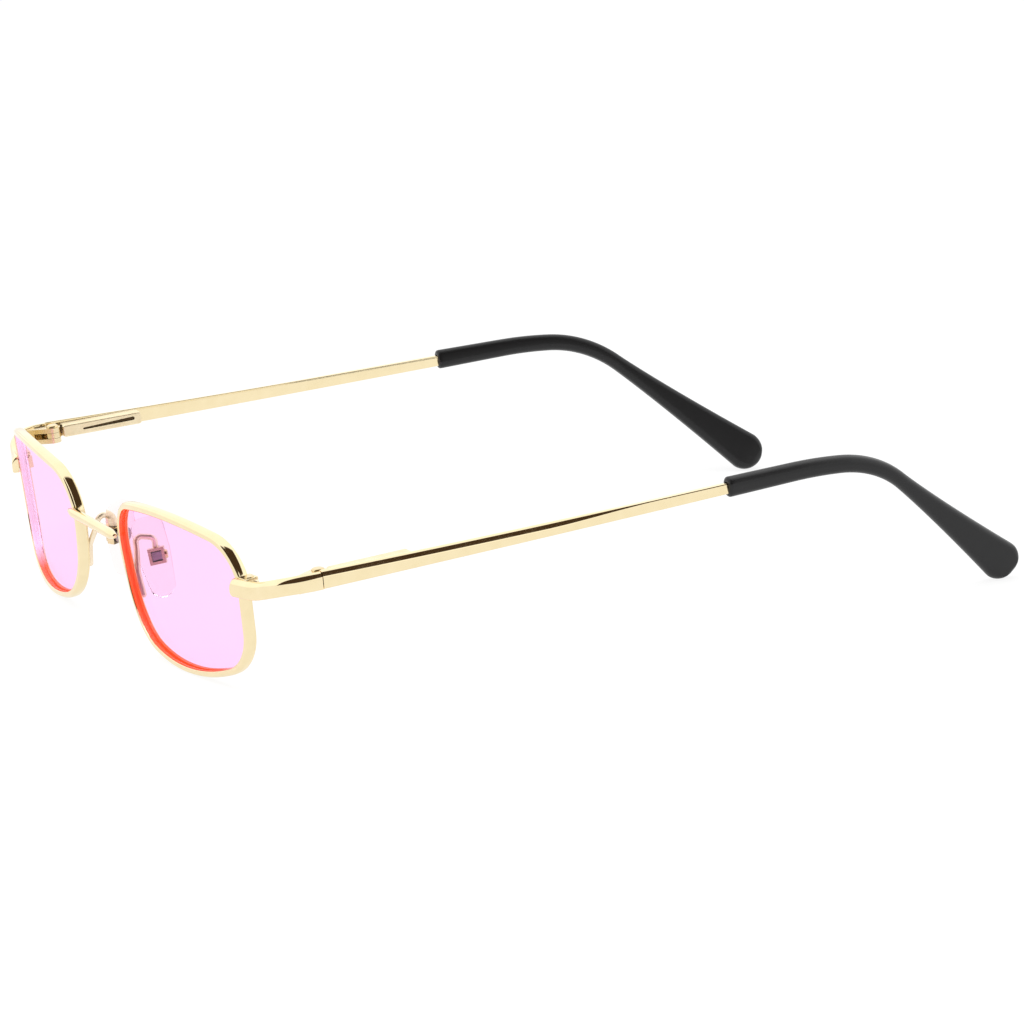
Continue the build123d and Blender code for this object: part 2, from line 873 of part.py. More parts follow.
box_top = pad_plane.from_local_coords(Vector(0, pad_box_height / 2, 0))
arm_points = [
    behind_rim(arm_foot_low, arm_foot_inset, arm_radius - braze_depth),
    behind_rim(arm_foot_high, arm_foot_inset, arm_radius - braze_depth),
    behind_rim(arm_leg_height, arm_foot_inset - arm_leg_in, arm_leg_back),
    behind_rim(arm_arch_height, arm_foot_inset - arm_arch_in, arm_arch_back),
    box_top + Vector(0, 0, arm_box_rise),
    box_top,
]
with BuildPart() as pad_arm:
    with BuildLine() as arm_line:
        FilletPolyline(*arm_points, radius=arm_bend_radius)
    with BuildSketch(Plane(arm_line.line @ 0, z_dir=arm_line.line % 0)):
        Circle(arm_radius)
    sweep(path=arm_line.wire())
    add(rim_blank, mode=Mode.SUBTRACT)
    add(pad_box.part, mode=Mode.SUBTRACT)


def lowest(piece, pitch):
    """The lowest point of a piece when the glasses are tipped by pitch."""
    return piece.moved(Location((0, 0, 0), (pitch, 0, 0))).bounding_box().min.Z


# The pitch at which the rims and the temple tips stand on one plane.
pitch = 0
for _ in range(4):
    gap = lowest(rim.part, pitch) - lowest(temple_tip.part, pitch)
    pitch = pitch + degrees(asin(gap / (hinge_plane.origin.Y + bend_start + tip_length)))
tipped = Location((0, 0, 0), (pitch, 0, 0))

left_pieces = {
    "rim": rim.part,
    "lens": lens.part,
    "closing_block_upper": upper_block,
    "closing_block_lower": lower_block,
    "closing_screw": closing_screw.part,
    "end_piece": end_piece.part,
    "hinge_knuckle": hinge_knuckle.part,
    "hinge_screw": hinge_screw.part,
    "hinge_slider": hinge_slider.part,
    "hinge_spring": hinge_spring.part,
    "slider_nut": slider_nut.part,
    "spring_housing": spring_housing.part,
    "temple_bar": temple_bar.part,
    "temple_tip": temple_tip.part,
    "pad_arm": pad_arm.part,
    "pad_box": pad_box.part,
    "pad_screw": pad_screw.part,
    "pad_insert": pad_insert.part,
    "nose_pad": nose_pad.part,
}
front_end = bridge.part.moved(tipped).bounding_box().min.Y
rear_end = temple_tip.part.moved(tipped).bounding_box().max.Y
standing = Location(
    (0, -(front_end + rear_end) / 2, -lowest(rim.part, pitch)), (pitch, 0, 0)
)


def write(piece, name):
    """Stand a piece on the plane and write it under its name."""
    placed = piece.moved(standing)
    placed.label = name
    export_step(placed, f"parts/{name}.step")


write(bridge.part, "bridge")
for name, piece in left_pieces.items():
    write(piece, f"left_{name}")
    write(mirror(piece, about=Plane.YZ), f"right_{name}")
print("pitch", round(pitch, 4), "moved by", standing.position)
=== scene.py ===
"""Narrow rectangle sunglasses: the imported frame, dressed for a plain studio.

Lengths are in millimetres in the worn frame of the part: X to the wearer's
left, Y backward from the front of the left lens, Z up from the middle of the
lens. Standing.place turns them into the row frame, in metres. Counts given to
linspace, hull, resample and tube are rings or points along a shape, high
enough that no facet shows in the picture.
"""

import logging
from dataclasses import dataclass, field
from enum import Enum
from math import cos, pi, radians, sin

import bpy
import numpy as np
from mathutils import Matrix


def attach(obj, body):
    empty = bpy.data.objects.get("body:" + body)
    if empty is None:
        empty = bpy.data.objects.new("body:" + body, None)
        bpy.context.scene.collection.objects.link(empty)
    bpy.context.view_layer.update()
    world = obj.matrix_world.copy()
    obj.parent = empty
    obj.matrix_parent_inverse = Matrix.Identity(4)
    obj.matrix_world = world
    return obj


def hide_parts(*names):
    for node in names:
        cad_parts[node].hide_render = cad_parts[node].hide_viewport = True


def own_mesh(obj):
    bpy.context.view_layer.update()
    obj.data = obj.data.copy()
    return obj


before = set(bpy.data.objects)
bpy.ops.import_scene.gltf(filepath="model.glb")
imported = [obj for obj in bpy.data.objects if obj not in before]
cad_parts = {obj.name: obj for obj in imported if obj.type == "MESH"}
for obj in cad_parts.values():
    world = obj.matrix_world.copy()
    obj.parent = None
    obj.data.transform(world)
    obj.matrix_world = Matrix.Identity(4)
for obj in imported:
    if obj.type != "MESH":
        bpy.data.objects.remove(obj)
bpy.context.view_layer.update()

MM = 0.001
HULL_STEPS = 2880
HEART_SHARE = 0.05
LEAST_SWEEP = 1e-6
# The brown of painted shade, laid in crevices and where pieces meet by ambient occlusion.
PAINTED_CREVICE_SHADE = "#3A2A18"
LOG = logging.getLogger("sunglasses")


class Side(Enum):
    """The wearer's left or right, as the sign of X."""

    LEFT = 1.0
    RIGHT = -1.0

    @property
    def word(self) -> str:
        """The side's word in node names."""
        return self.name.lower()


class Coating(Enum):
    """How a metal surface was finished, as its least and greatest roughness."""

    POLISHED = (0.05, 0.11)
    SATIN = (0.2, 0.3)
    DRAWN = (0.16, 0.34)
    BRUSHED = (0.42, 0.52)


def tipped(degrees: float) -> np.ndarray:
    """The rotation about X, as a 3 by 3 matrix."""
    low, high = cos(radians(degrees)), sin(radians(degrees))
    return np.array([[1, 0, 0], [0, low, -high], [0, high, low]])


def aimed(axes: list[np.ndarray], spot: np.ndarray | tuple) -> Matrix:
    """A placing matrix.

    Args:
        axes: The object's own X, Y and Z ways.
        spot: Where it stands, in metres.

    Returns:
        The matrix.
    """
    matrix = np.eye(4)
    matrix[:3, :3] = np.stack(axes, axis=1)
    matrix[:3, 3] = spot
    return Matrix(matrix.tolist())


def stood(name: str, data: bpy.types.ID) -> bpy.types.Object:
    """Stand an object in the scene.

    Args:
        name: The object's name.
        data: The mesh, lamp or camera that it shows.

    Returns:
        The object.
    """
    made = bpy.data.objects.new(name, data)
    bpy.context.scene.collection.objects.link(made)
    return made


@dataclass(frozen=True)
class Standing:
    """How the worn frame is tipped and shifted to stand on the plane Z = 0."""

    pitch: float = 3.6751
    back: float = -73.5662
    up: float = 13.9719

    def turn(self) -> np.ndarray:
        """The rotation that tips the worn frame."""
        return tipped(self.pitch)

    def place(self, points: np.ndarray) -> np.ndarray:
        """Worn points in millimetres to the row frame in metres.

        Args:
            points: Array whose last axis is X, Y and Z.

        Returns:
            The turned and shifted points, in metres.
        """
        return (points @ self.turn().T + np.array([0, self.back, self.up])) * MM


STANDING = Standing()


# ---------------------------------------------------------------- mesh making


def unit(vectors: np.ndarray) -> np.ndarray:
    """Vectors at length 1, taken along the last axis."""
    return vectors / np.linalg.norm(vectors, axis=-1, keepdims=True)


def around(count: int) -> np.ndarray:
    """Angles that part a full turn evenly, the first at 0."""
    return np.linspace(0, 2 * pi, count, endpoint=False)


def tube(
    line: np.ndarray, first: np.ndarray, second: np.ndarray, radius: float, count: int
) -> np.ndarray:
    """Rings of a round wire: a circle carried along a line.

    Args:
        line: The line's points, n by 3.
        first: Unit way across the line, or one for each point.
        second: Unit way across the line and the first way, likewise.
        radius: The wire's radius, or an array of one for each point.
        count: Points in each ring.

    Returns:
        Rings by points by 3.
    """
    angle = around(count)[:, None]
    ring = first[..., None, :] * np.cos(angle) + second[..., None, :] * np.sin(angle)
    return line[:, None] + ring * radius


def eased_in(distance: np.ndarray, radius: float) -> np.ndarray:
    """How far a round edge falls short of its wall: the radius less the circle's height."""
    near = np.clip(radius - distance, 0, radius)
    return radius - np.sqrt(radius**2 - near**2)


def soften(corners: np.ndarray, radii: np.ndarray, steps: int = 5) -> np.ndarray:
    """Round the corners of a closed polygon.

    Each corner gives way to an arc that touches both of its sides: the arc's
    centre lies on the corner's bisector, its radius over the sine of half the
    corner's angle away from it.

    Args:
        corners: Corner points, n by 2, counted round the polygon.
        radii: The radius at each corner.
        steps: Points on each arc.

    Returns:
        The rounded outline, n times steps by 2.
    """
    before = unit(np.roll(corners, 1, axis=0) - corners)
    after = unit(np.roll(corners, -1, axis=0) - corners)
    half = 0.5 * np.arccos(np.clip((before * after).sum(axis=1), -1, 1))[:, None]
    middle = unit(before + after)
    centre = corners + middle * radii[:, None] / np.sin(half)
    ends = []
    for way in (before, after):
        square = np.stack([-way[:, 1], way[:, 0]], axis=1)
        ends.append(square * -np.sign((middle * square).sum(axis=1))[:, None])
    start, end = ends
    share = np.linspace(0, 1, steps)[None, :, None]
    sweep = np.arccos(np.clip((start * end).sum(axis=1), -1, 1))[:, None, None]
    sweep = np.maximum(sweep, LEAST_SWEEP)
    ways = (
        np.sin((1 - share) * sweep) * start[:, None] + np.sin(share * sweep) * end[:, None]
    ) / np.sin(sweep)
    return (centre[:, None] + ways * radii[:, None, None]).reshape(-1, 2)


def grid_faces(rows: int, columns: int) -> np.ndarray:
    """Quads of a grid whose rows are closed rings.

    Args:
        rows: Number of rings.
        columns: Points in each ring.

    Returns:
        Vertex indices, one row of four for each quad.
    """
    row, column = np.meshgrid(np.arange(rows - 1), np.arange(columns), indexing="ij")
    here = row * columns + column
    beside = row * columns + (column + 1) % columns
    quads = np.stack([here, beside, beside + columns, here + columns], axis=-1)
    return quads.reshape(-1, 4)


def enclosed(points: np.ndarray, faces: list[list[int]]) -> float:
    """Signed volume of a closed mesh: the sum of each face's cone to the origin.

    Args:
        points: The mesh's points, n by 3.
        faces: The faces, of any number of corners.

    Returns:
        The volume, below zero where the faces point inwards.
    """
    total = 0.0
    sizes = np.array([len(face) for face in faces])
    for size in np.unique(sizes):
        ring = np.array([face for face in faces if len(face) == size])
        corner = points[ring]
        for step in range(1, size - 1):
            cross = np.cross(corner[:, step], corner[:, step + 1])
            total += float((corner[:, 0] * cross).sum()) / 6
    return total


def build(
    name: str,
    rings: np.ndarray,
    side: Side,
    finishes: list[bpy.types.Material],
    ring_finish: np.ndarray | None = None,
    crease: float = 32.0,
) -> bpy.types.Object:
    """One closed piece from a grid of rings in the worn frame.

    The grid's rows are closed rings, and the first and last ring are closed
    by a face each. The faces are turned over if the signed volume is below
    zero, so that they point outwards on the mirrored side too.

    Args:
        name: The piece's name.
        rings: Points, rings by points by 3, of the left piece.
        side: Which side the piece is for; the right one is mirrored.
        finishes: The materials, in slot order.
        ring_finish: The slot of each band between two rings.
        crease: Angle in degrees above which an edge stays sharp.

    Returns:
        The finished object, its place in its mesh.
    """
    rows, columns = rings.shape[:2]
    points = rings.reshape(-1, 3) * np.array([side.value, 1.0, 1.0])
    points = STANDING.place(points)
    quads = grid_faces(rows, columns).tolist()
    last = (rows - 1) * columns
    ends = [list(range(columns))[::-1], list(range(last, last + columns))]
    faces = quads + ends
    middle = points.mean(axis=0)
    if enclosed(points - middle, faces) < 0:
        faces = [face[::-1] for face in faces]
    mesh = bpy.data.meshes.new(name)
    mesh.from_pydata(points.tolist(), [], faces)
    if ring_finish is not None:
        slots = np.concatenate([np.repeat(ring_finish, columns), ring_finish[[0, -1]]])
        mesh.polygons.foreach_set("material_index", slots.astype(np.int32))
    mesh.shade_smooth()
    mesh.set_sharp_from_angle(angle=radians(crease))
    mesh.update()
    for material in finishes:
        mesh.materials.append(material)
    return stood(name, mesh)


def drill(piece: bpy.types.Object, rings: np.ndarray, side: Side, crease: float) -> None:
    """Cut a bore out of a piece.

    Args:
        piece: The piece, changed in place.
        rings: The bore's wall, as rings of the left piece.
        side: The piece's side.
        crease: Angle in degrees above which an edge stays sharp.
    """
    cutter = build("bore", rings, side, [])
    modifier = piece.modifiers.new("bore", "BOOLEAN")
    modifier.operation = "DIFFERENCE"
    modifier.solver = "EXACT"
    modifier.object = cutter
    graph = bpy.context.evaluated_depsgraph_get()
    cut = bpy.data.meshes.new_from_object(piece.evaluated_get(graph))
    piece.modifiers.clear()
    piece.data = cut
    cut.set_sharp_from_angle(angle=radians(crease))
    bpy.data.objects.remove(cutter)


def resample(points: np.ndarray, count: int) -> np.ndarray:
    """Spread points evenly along a polyline, by its running length.

    Args:
        points: The polyline's points, one row each.
        count: How many points to spread.

    Returns:
        The new points, count rows.
    """
    steps = np.linalg.norm(np.diff(points, axis=0), axis=1)
    length = np.concatenate([[0.0], np.cumsum(steps)])
    wanted = np.linspace(0, length[-1], count)
    columns = [np.interp(wanted, length, points[:, axis]) for axis in range(points.shape[1])]
    return np.stack(columns, axis=1)


def round_corners(points: np.ndarray, radius: float, steps: int = 12) -> np.ndarray:
    """A polyline whose inner corners give way to arcs of one radius.

    Args:
        points: The polyline's points, n by 2 or n by 3.
        radius: The arcs' radius.
        steps: Points on each arc.

    Returns:
        The smoothed line's points, first and last point included.
    """
    pieces = [points[:1]]
    for corner in range(1, len(points) - 1):
        back = unit(points[corner - 1] - points[corner])
        ahead = unit(points[corner + 1] - points[corner])
        half = 0.5 * np.arccos(np.clip(back @ ahead, -1, 1))
        middle = unit(back + ahead)
        centre = points[corner] + middle * radius / np.sin(half)
        across = unit(back - middle * (back @ middle))
        angle = np.linspace(pi / 2 - half, half - pi / 2, steps)[:, None]
        pieces.append(centre - middle * radius * np.cos(angle) + across * radius * np.sin(angle))
    pieces.append(points[-1:])
    return np.concatenate(pieces)


def hull(circles: tuple, count: int) -> tuple[np.ndarray, np.ndarray]:
    """The hull of some circles, from the one that reaches furthest each way.

    Args:
        circles: Centre across, centre up and radius of each circle.
        count: Number of points.

    Returns:
        Points and outward ways, each count by 2, even along the hull.
    """
    angle = np.linspace(0, 2 * pi, HULL_STEPS + 1)
    way = np.stack([np.cos(angle), np.sin(angle)], axis=1)
    circle = np.array(circles)
    reach = way @ circle[:, :2].T + circle[:, 2]
    best = np.argmax(reach, axis=1)
    points = circle[best, :2] + way * circle[best, 2:]
    # The ways go along as columns too small to count in the running length.
    both = resample(np.concatenate([points, way * 1e-9], axis=1), count + 1)[:-1]
    return both[:, :2], unit(both[:, 2:])


def shell(
    points: np.ndarray, ways: np.ndarray, inset: np.ndarray, depth: np.ndarray, steps: int = 11
) -> np.ndarray:
    """Rings over a plate: from its first face's middle, round its edge, to its last's.

    Args:
        points: The plate's outline.
        ways: Outward ways along it.
        inset: How far in from the outline each edge ring lies.
        depth: How deep each edge ring lies.
        steps: Rings on each face.

    Returns:
        Rings by points by 3: across, up and depth.
    """
    middle = points.mean(axis=0)
    edge = points[None] - ways[None] * inset[:, None, None]
    share = np.linspace(HEART_SHARE, 1, steps + 1)[:-1, None, None]
    first = middle + (edge[:1] - middle) * share
    last = middle + (edge[-1:] - middle) * share[::-1]
    flat = np.concatenate([first, edge, last])
    deep = np.concatenate([np.full(steps, depth[0]), depth, np.full(steps, depth[-1])])
    deep = np.broadcast_to(deep[:, None, None], flat.shape[:2] + (1,))
    return np.concatenate([flat, deep], axis=-1)


# ------------------------------------------------------------------ materials


def linear(code: str) -> tuple[float, float, float, float]:
    """Turn an sRGB hex colour linear.

    Args:
        code: The colour, as in #F6E6BF.

    Returns:
        Linear red, green and blue, and an alpha of 1.
    """
    values = np.array([int(code[at : at + 2], 16) for at in (1, 3, 5)]) / 255
    light = np.where(values <= 0.04045, values / 12.92, ((values + 0.055) / 1.055) ** 2.4)
    return (float(light[0]), float(light[1]), float(light[2]), 1.0)


def per_mm(size: float) -> float:
    """Texture scale in Object coordinates for a pattern that repeats each size mm."""
    return 1.0 / (size * MM)


def add_node(
    tree: bpy.types.NodeTree, kind: str, inputs: dict | None = None, **settings: object
) -> bpy.types.Node:
    """Add a node, set its settings and feed its sockets.

    Args:
        tree: The node tree.
        kind: The node's type name.
        inputs: Value or source socket for each input, by name or number.
        settings: Attributes of the node.

    Returns:
        The new node.
    """
    node = tree.nodes.new(kind)
    for word, value in settings.items():
        setattr(node, word, value)
    for socket, value in (inputs or {}).items():
        if isinstance(value, bpy.types.NodeSocket):
            tree.links.new(value, node.inputs[socket])
        else:
            node.inputs[socket].default_value = value
    return node


def mixed(
    tree: bpy.types.NodeTree,
    share: bpy.types.NodeSocket,
    first: bpy.types.NodeSocket | str,
    second: bpy.types.NodeSocket | str,
) -> bpy.types.NodeSocket:
    """Add a mix of two colours.

    Args:
        tree: The node tree.
        share: How much of the second colour there is.
        first: A colour's socket, or its hex code.
        second: A colour's socket, or its hex code.

    Returns:
        The mixed colour.
    """
    ends = [linear(end) if isinstance(end, str) else end for end in (first, second)]
    inputs = {0: share, 6: ends[0], 7: ends[1]}
    return add_node(tree, "ShaderNodeMix", inputs, data_type="RGBA").outputs[2]


def ramped(
    tree: bpy.types.NodeTree,
    value: bpy.types.NodeSocket,
    start: float = 0.0,
    end: float = 1.0,
    low: float = 0.0,
    high: float = 1.0,
) -> bpy.types.NodeSocket:
    """Add a ramp that takes a value from one range to another.

    Args:
        tree: The node tree.
        value: The value's socket.
        start: The value that gives low.
        end: The value that gives high.
        low: The ramp's result at start and beyond it.
        high: The ramp's result at end and beyond it.

    Returns:
        The result.
    """
    inputs = {"Value": value, "From Min": start, "From Max": end, "To Min": low, "To Max": high}
    return add_node(tree, "ShaderNodeMapRange", inputs).outputs[0]


def worked(
    tree: bpy.types.NodeTree, operation: str, *values: bpy.types.NodeSocket | float
) -> bpy.types.NodeSocket:
    """Add a maths node on up to three values and return its result."""
    inputs = dict(enumerate(values))
    return add_node(tree, "ShaderNodeMath", inputs, operation=operation).outputs[0]


def blank_material(name: str) -> tuple[bpy.types.Material, bpy.types.NodeTree]:
    """Start a material.

    Args:
        name: The material's name.

    Returns:
        The material and its empty node tree.
    """
    material = bpy.data.materials.new(name)
    material.use_nodes = True
    material.node_tree.nodes.clear()
    return material, material.node_tree


@dataclass(frozen=True)
class Surface:
    """Two noises in Object coordinates that vary a finish and its relief, in mm."""

    spread: float
    grain: float
    relief: float
    relief_depth: float

    def noise(self, tree: bpy.types.NodeTree, size: float, detail: float) -> bpy.types.NodeSocket:
        """Add a noise in Object coordinates.

        Args:
            tree: The material's node tree.
            size: About how far apart its clouds lie, in millimetres.
            detail: How many finer noises it holds.

        Returns:
            The noise, from 0 to 1.
        """
        place = add_node(tree, "ShaderNodeTexCoord").outputs["Object"]
        inputs = {"Vector": place, "Scale": per_mm(size), "Detail": detail}
        return add_node(tree, "ShaderNodeTexNoise", inputs).outputs["Fac"]

    def nodes(
        self, tree: bpy.types.NodeTree
    ) -> tuple[bpy.types.NodeSocket, bpy.types.NodeSocket]:
        """Add the wide noise and the bump made from the fine one.

        Args:
            tree: The material's node tree.

        Returns:
            The wide noise and the bumped normal.
        """
        wide = self.noise(tree, self.spread, 3.0)
        relief = {
            "Height": self.noise(tree, self.grain, 4.0),
            "Strength": self.relief,
            "Distance": self.relief_depth * MM,
        }
        return wide, add_node(tree, "ShaderNodeBump", relief).outputs[0]


@dataclass(frozen=True)
class Finish:
    """A finish whose two near tones cloud into each other over a fine relief."""

    name: str
    light: str
    deep: str
    surface: Surface = field(kw_only=True, default=Surface(2.2, 0.09, 0.1, 0.004))

    def inputs(
        self, tree: bpy.types.NodeTree, wide: bpy.types.NodeSocket, tone: bpy.types.NodeSocket
    ) -> dict:
        """The principled shader's inputs that are this finish's own."""
        raise NotImplementedError

    def make(self) -> bpy.types.Material:
        """Build the material: clouded tone, fine relief, and the finish's own inputs.

        Returns:
            The material.
        """
        material, tree = blank_material(self.name)
        wide, normal = self.surface.nodes(tree)
        tone = mixed(tree, wide, self.light, self.deep)
        inputs = self.inputs(tree, wide, tone) | {"Normal": normal}
        shader = add_node(tree, "ShaderNodeBsdfPrincipled", inputs)
        add_node(tree, "ShaderNodeOutputMaterial", {"Surface": shader.outputs[0]})
        return material


@dataclass(frozen=True)
class Plating(Finish):
    """Plated or bare metal: bright, with faint clouding and polish marks.

    Where two pieces meet, painted shade browns the metal, reaching the given
    number of millimetres in, 0 for none.
    """

    coating: Coating
    crevice: float = 0.0

    def inputs(
        self, tree: bpy.types.NodeTree, wide: bpy.types.NodeSocket, tone: bpy.types.NodeSocket
    ) -> dict:
        """Metal, its roughness clouded between the coating's two.

        Args:
            tree: The material's node tree.
            wide: The wide noise.
            tone: The clouded tone.

        Returns:
            The shader's inputs.
        """
        # Painted shade: ambient occlusion browns the metal in crevices and where pieces meet.
        if self.crevice:
            near = {"Distance": self.crevice * MM}
            hollow = add_node(tree, "ShaderNodeAmbientOcclusion", near, samples=8)
            unshaded_share = ramped(tree, hollow.outputs["AO"], start=0.2, end=0.5)
            tone = mixed(tree, unshaded_share, PAINTED_CREVICE_SHADE, tone)
        gloss = ramped(tree, wide, 0.3, 0.7, *self.coating.value)
        return {"Base Color": tone, "Metallic": 1.0, "Roughness": gloss}


@dataclass(frozen=True)
class Clear(Finish):
    """Cast or moulded clear stock: tinted through, with a polished or soft skin.

    Where the skin turns from the eye, it takes the edge tone: a painted shade
    that draws the piece's outline.
    """

    ior: float
    roughness: tuple[float, float]
    edge: str = ""
    surface: Surface = field(kw_only=True, default=Surface(9.0, 0.3, 0.02, 0.002))

    def inputs(
        self, tree: bpy.types.NodeTree, wide: bpy.types.NodeSocket, tone: bpy.types.NodeSocket
    ) -> dict:
        """Full transmission under a thin clear coat.

        Args:
            tree: The material's node tree.
            wide: The wide noise.
            tone: The clouded tone.

        Returns:
            The shader's inputs.
        """
        # Painted shade: the edge tone darkens the skin where it faces away from the eye.
        if self.edge:
            turned = add_node(tree, "ShaderNodeLayerWeight", {"Blend": 0.35})
            away = ramped(tree, turned.outputs["Facing"], start=0.55, end=0.95)
            tone = mixed(tree, away, tone, self.edge)
        return {
            "Base Color": tone,
            "Roughness": ramped(tree, wide, 0.0, 1.0, *self.roughness),
            "IOR": self.ior,
            "Transmission Weight": 1.0,
            "Coat Weight": 0.1,
            "Coat Roughness": 0.02,
        }


@dataclass(frozen=True)
class Moulded(Finish):
    """Plastic stock: satin, with a fine grain.

    A ground edge of tinted stock is given painted light: an emission in its own
    colour that stands in for the light running through the sheet to it; glow is how
    much. Over fade, two distances in millimetres from the middle of the glasses,
    it turns as pale as the sheet.
    """

    roughness: tuple[float, float]
    specular: float = 0.5
    glow: float = 0.0
    fade: tuple[float, float] | None = None
    pale: str = "#FAE2EE"

    def inputs(
        self, tree: bpy.types.NodeTree, wide: bpy.types.NodeSocket, tone: bpy.types.NodeSocket
    ) -> dict:
        """A satin skin, with painted light added as emission where the finish glows.

        Args:
            tree: The material's node tree.
            wide: The wide noise.
            tone: The clouded tone.

        Returns:
            The shader's inputs.
        """
        if self.fade:
            place = add_node(tree, "ShaderNodeTexCoord").outputs["Object"]
            across = add_node(tree, "ShaderNodeSeparateXYZ", {0: place}).outputs[0]
            start, end = (distance * MM for distance in self.fade)
            far = ramped(tree, worked(tree, "ABSOLUTE", across), start, end)
            tone = mixed(tree, far, tone, self.pale)
        return {
            "Base Color": tone,
            "Roughness": ramped(tree, wide, 0.0, 1.0, *self.roughness),
            "IOR": 1.5,
            # Painted light: the emission makes the ground edge glow though no lamp lights it.
            "Specular IOR Level": self.specular,
            "Emission Color": tone,
            "Emission Strength": self.glow,
        }


def finish(maker: Finish) -> bpy.types.Material:
    """A palette field that the finish's own make fills."""
    return field(default_factory=maker.make)


@dataclass
class Palette:
    """Every finish of the sunglasses, made once for all pieces."""

    # Polished electroplating: near a mirror, so the rims and bars read as pale
    # gold flats with one crisp brown reflection along them.
    gold: bpy.types.Material = finish(
        Plating("pale_gold_plating", "#F6E6BF", "#EFDDB1", Coating.POLISHED)
    )
    # The same plating over machined faces: softer, with painted shade browning it where pieces
    # meet.
    satin_gold: bpy.types.Material = finish(
        Plating("satin_gold_plating", "#F3E2BC", "#E8D3A6", Coating.SATIN, 0.8)
    )
    # Turned screw heads: a deeper gold, bright in the middle, with painted shade browning the
    # foot.
    screw: bpy.types.Material = finish(
        Plating("gold_plated_screw", "#EAD7AC", "#D8C08C", Coating.POLISHED, 0.5)
    )
    # Nickel silver: the grey square in each pad.
    insert: bpy.types.Material = finish(
        Plating("satin_nickel_silver", "#BDB2B4", "#ADA3A6", Coating.BRUSHED)
    )
    # Drawn wire under thin plating: pale and soft, hardly darker than the floor.
    wire: bpy.types.Material = finish(
        Plating("brushed_gold_wire", "#FFF1DA", "#F6E6CA", Coating.BRUSHED)
    )
    # Rolled sheet: cream gold with no crisp reflection.
    housing: bpy.types.Material = finish(
        Plating("rolled_gold_plating", "#FBEDCB", "#F5E4BD", Coating.BRUSHED)
    )
    # Painted shade down in the housing's slot: a dark brown wedge where the slot lies in shadow.
    hollow: bpy.types.Material = finish(
        Plating("shaded_slot_brass", "#5A4A34", "#3A2D1E", Coating.SATIN)
    )
    # Spring steel: a colder grey than all that is plated.
    steel: bpy.types.Material = finish(
        Plating("drawn_spring_steel", "#D2D0CC", "#B4B2AE", Coating.DRAWN)
    )
    # Tinted sheet: an even pale pink that hardly bends what lies behind it.
    lens: bpy.types.Material = finish(
        Clear("pink_tinted_lens", "#FFD8FC", "#FFD5FA", 1.003, (0.0, 0.01))
    )
    # The lens's ground edge: a glowing orange red line of painted light, pale towards the hinges.
    lens_edge: bpy.types.Material = finish(
        Moulded(
            "ground_lens_edge",
            "#FF6C1C",
            "#FF5610",
            (0.3, 0.45),
            glow=0.3,
            fade=(43.0, 50.0),
            surface=Surface(0.9, 0.12, 0.2, 0.01),
        )
    )
    # Silicone: colourless, drawn by its rosy outline alone, a painted shade where its skin turns
    # from the eye.
    pad: bpy.types.Material = finish(
        Clear("clear_silicone", "#FFFAF9", "#FDF4F3", 1.09, (0.05, 0.12), "#DDB9C4")
    )
    # Acetate: a black that never shines white, with a broad grey sheen on top.
    tip: bpy.types.Material = finish(
        Moulded(
            "black_satin_acetate",
            "#19191A",
            "#121213",
            (0.3, 0.38),
            0.36,
            surface=Surface(1.6, 0.12, 0.2, 0.01),
        )
    )


# ---------------------------------------------------------------- sub-assemblies


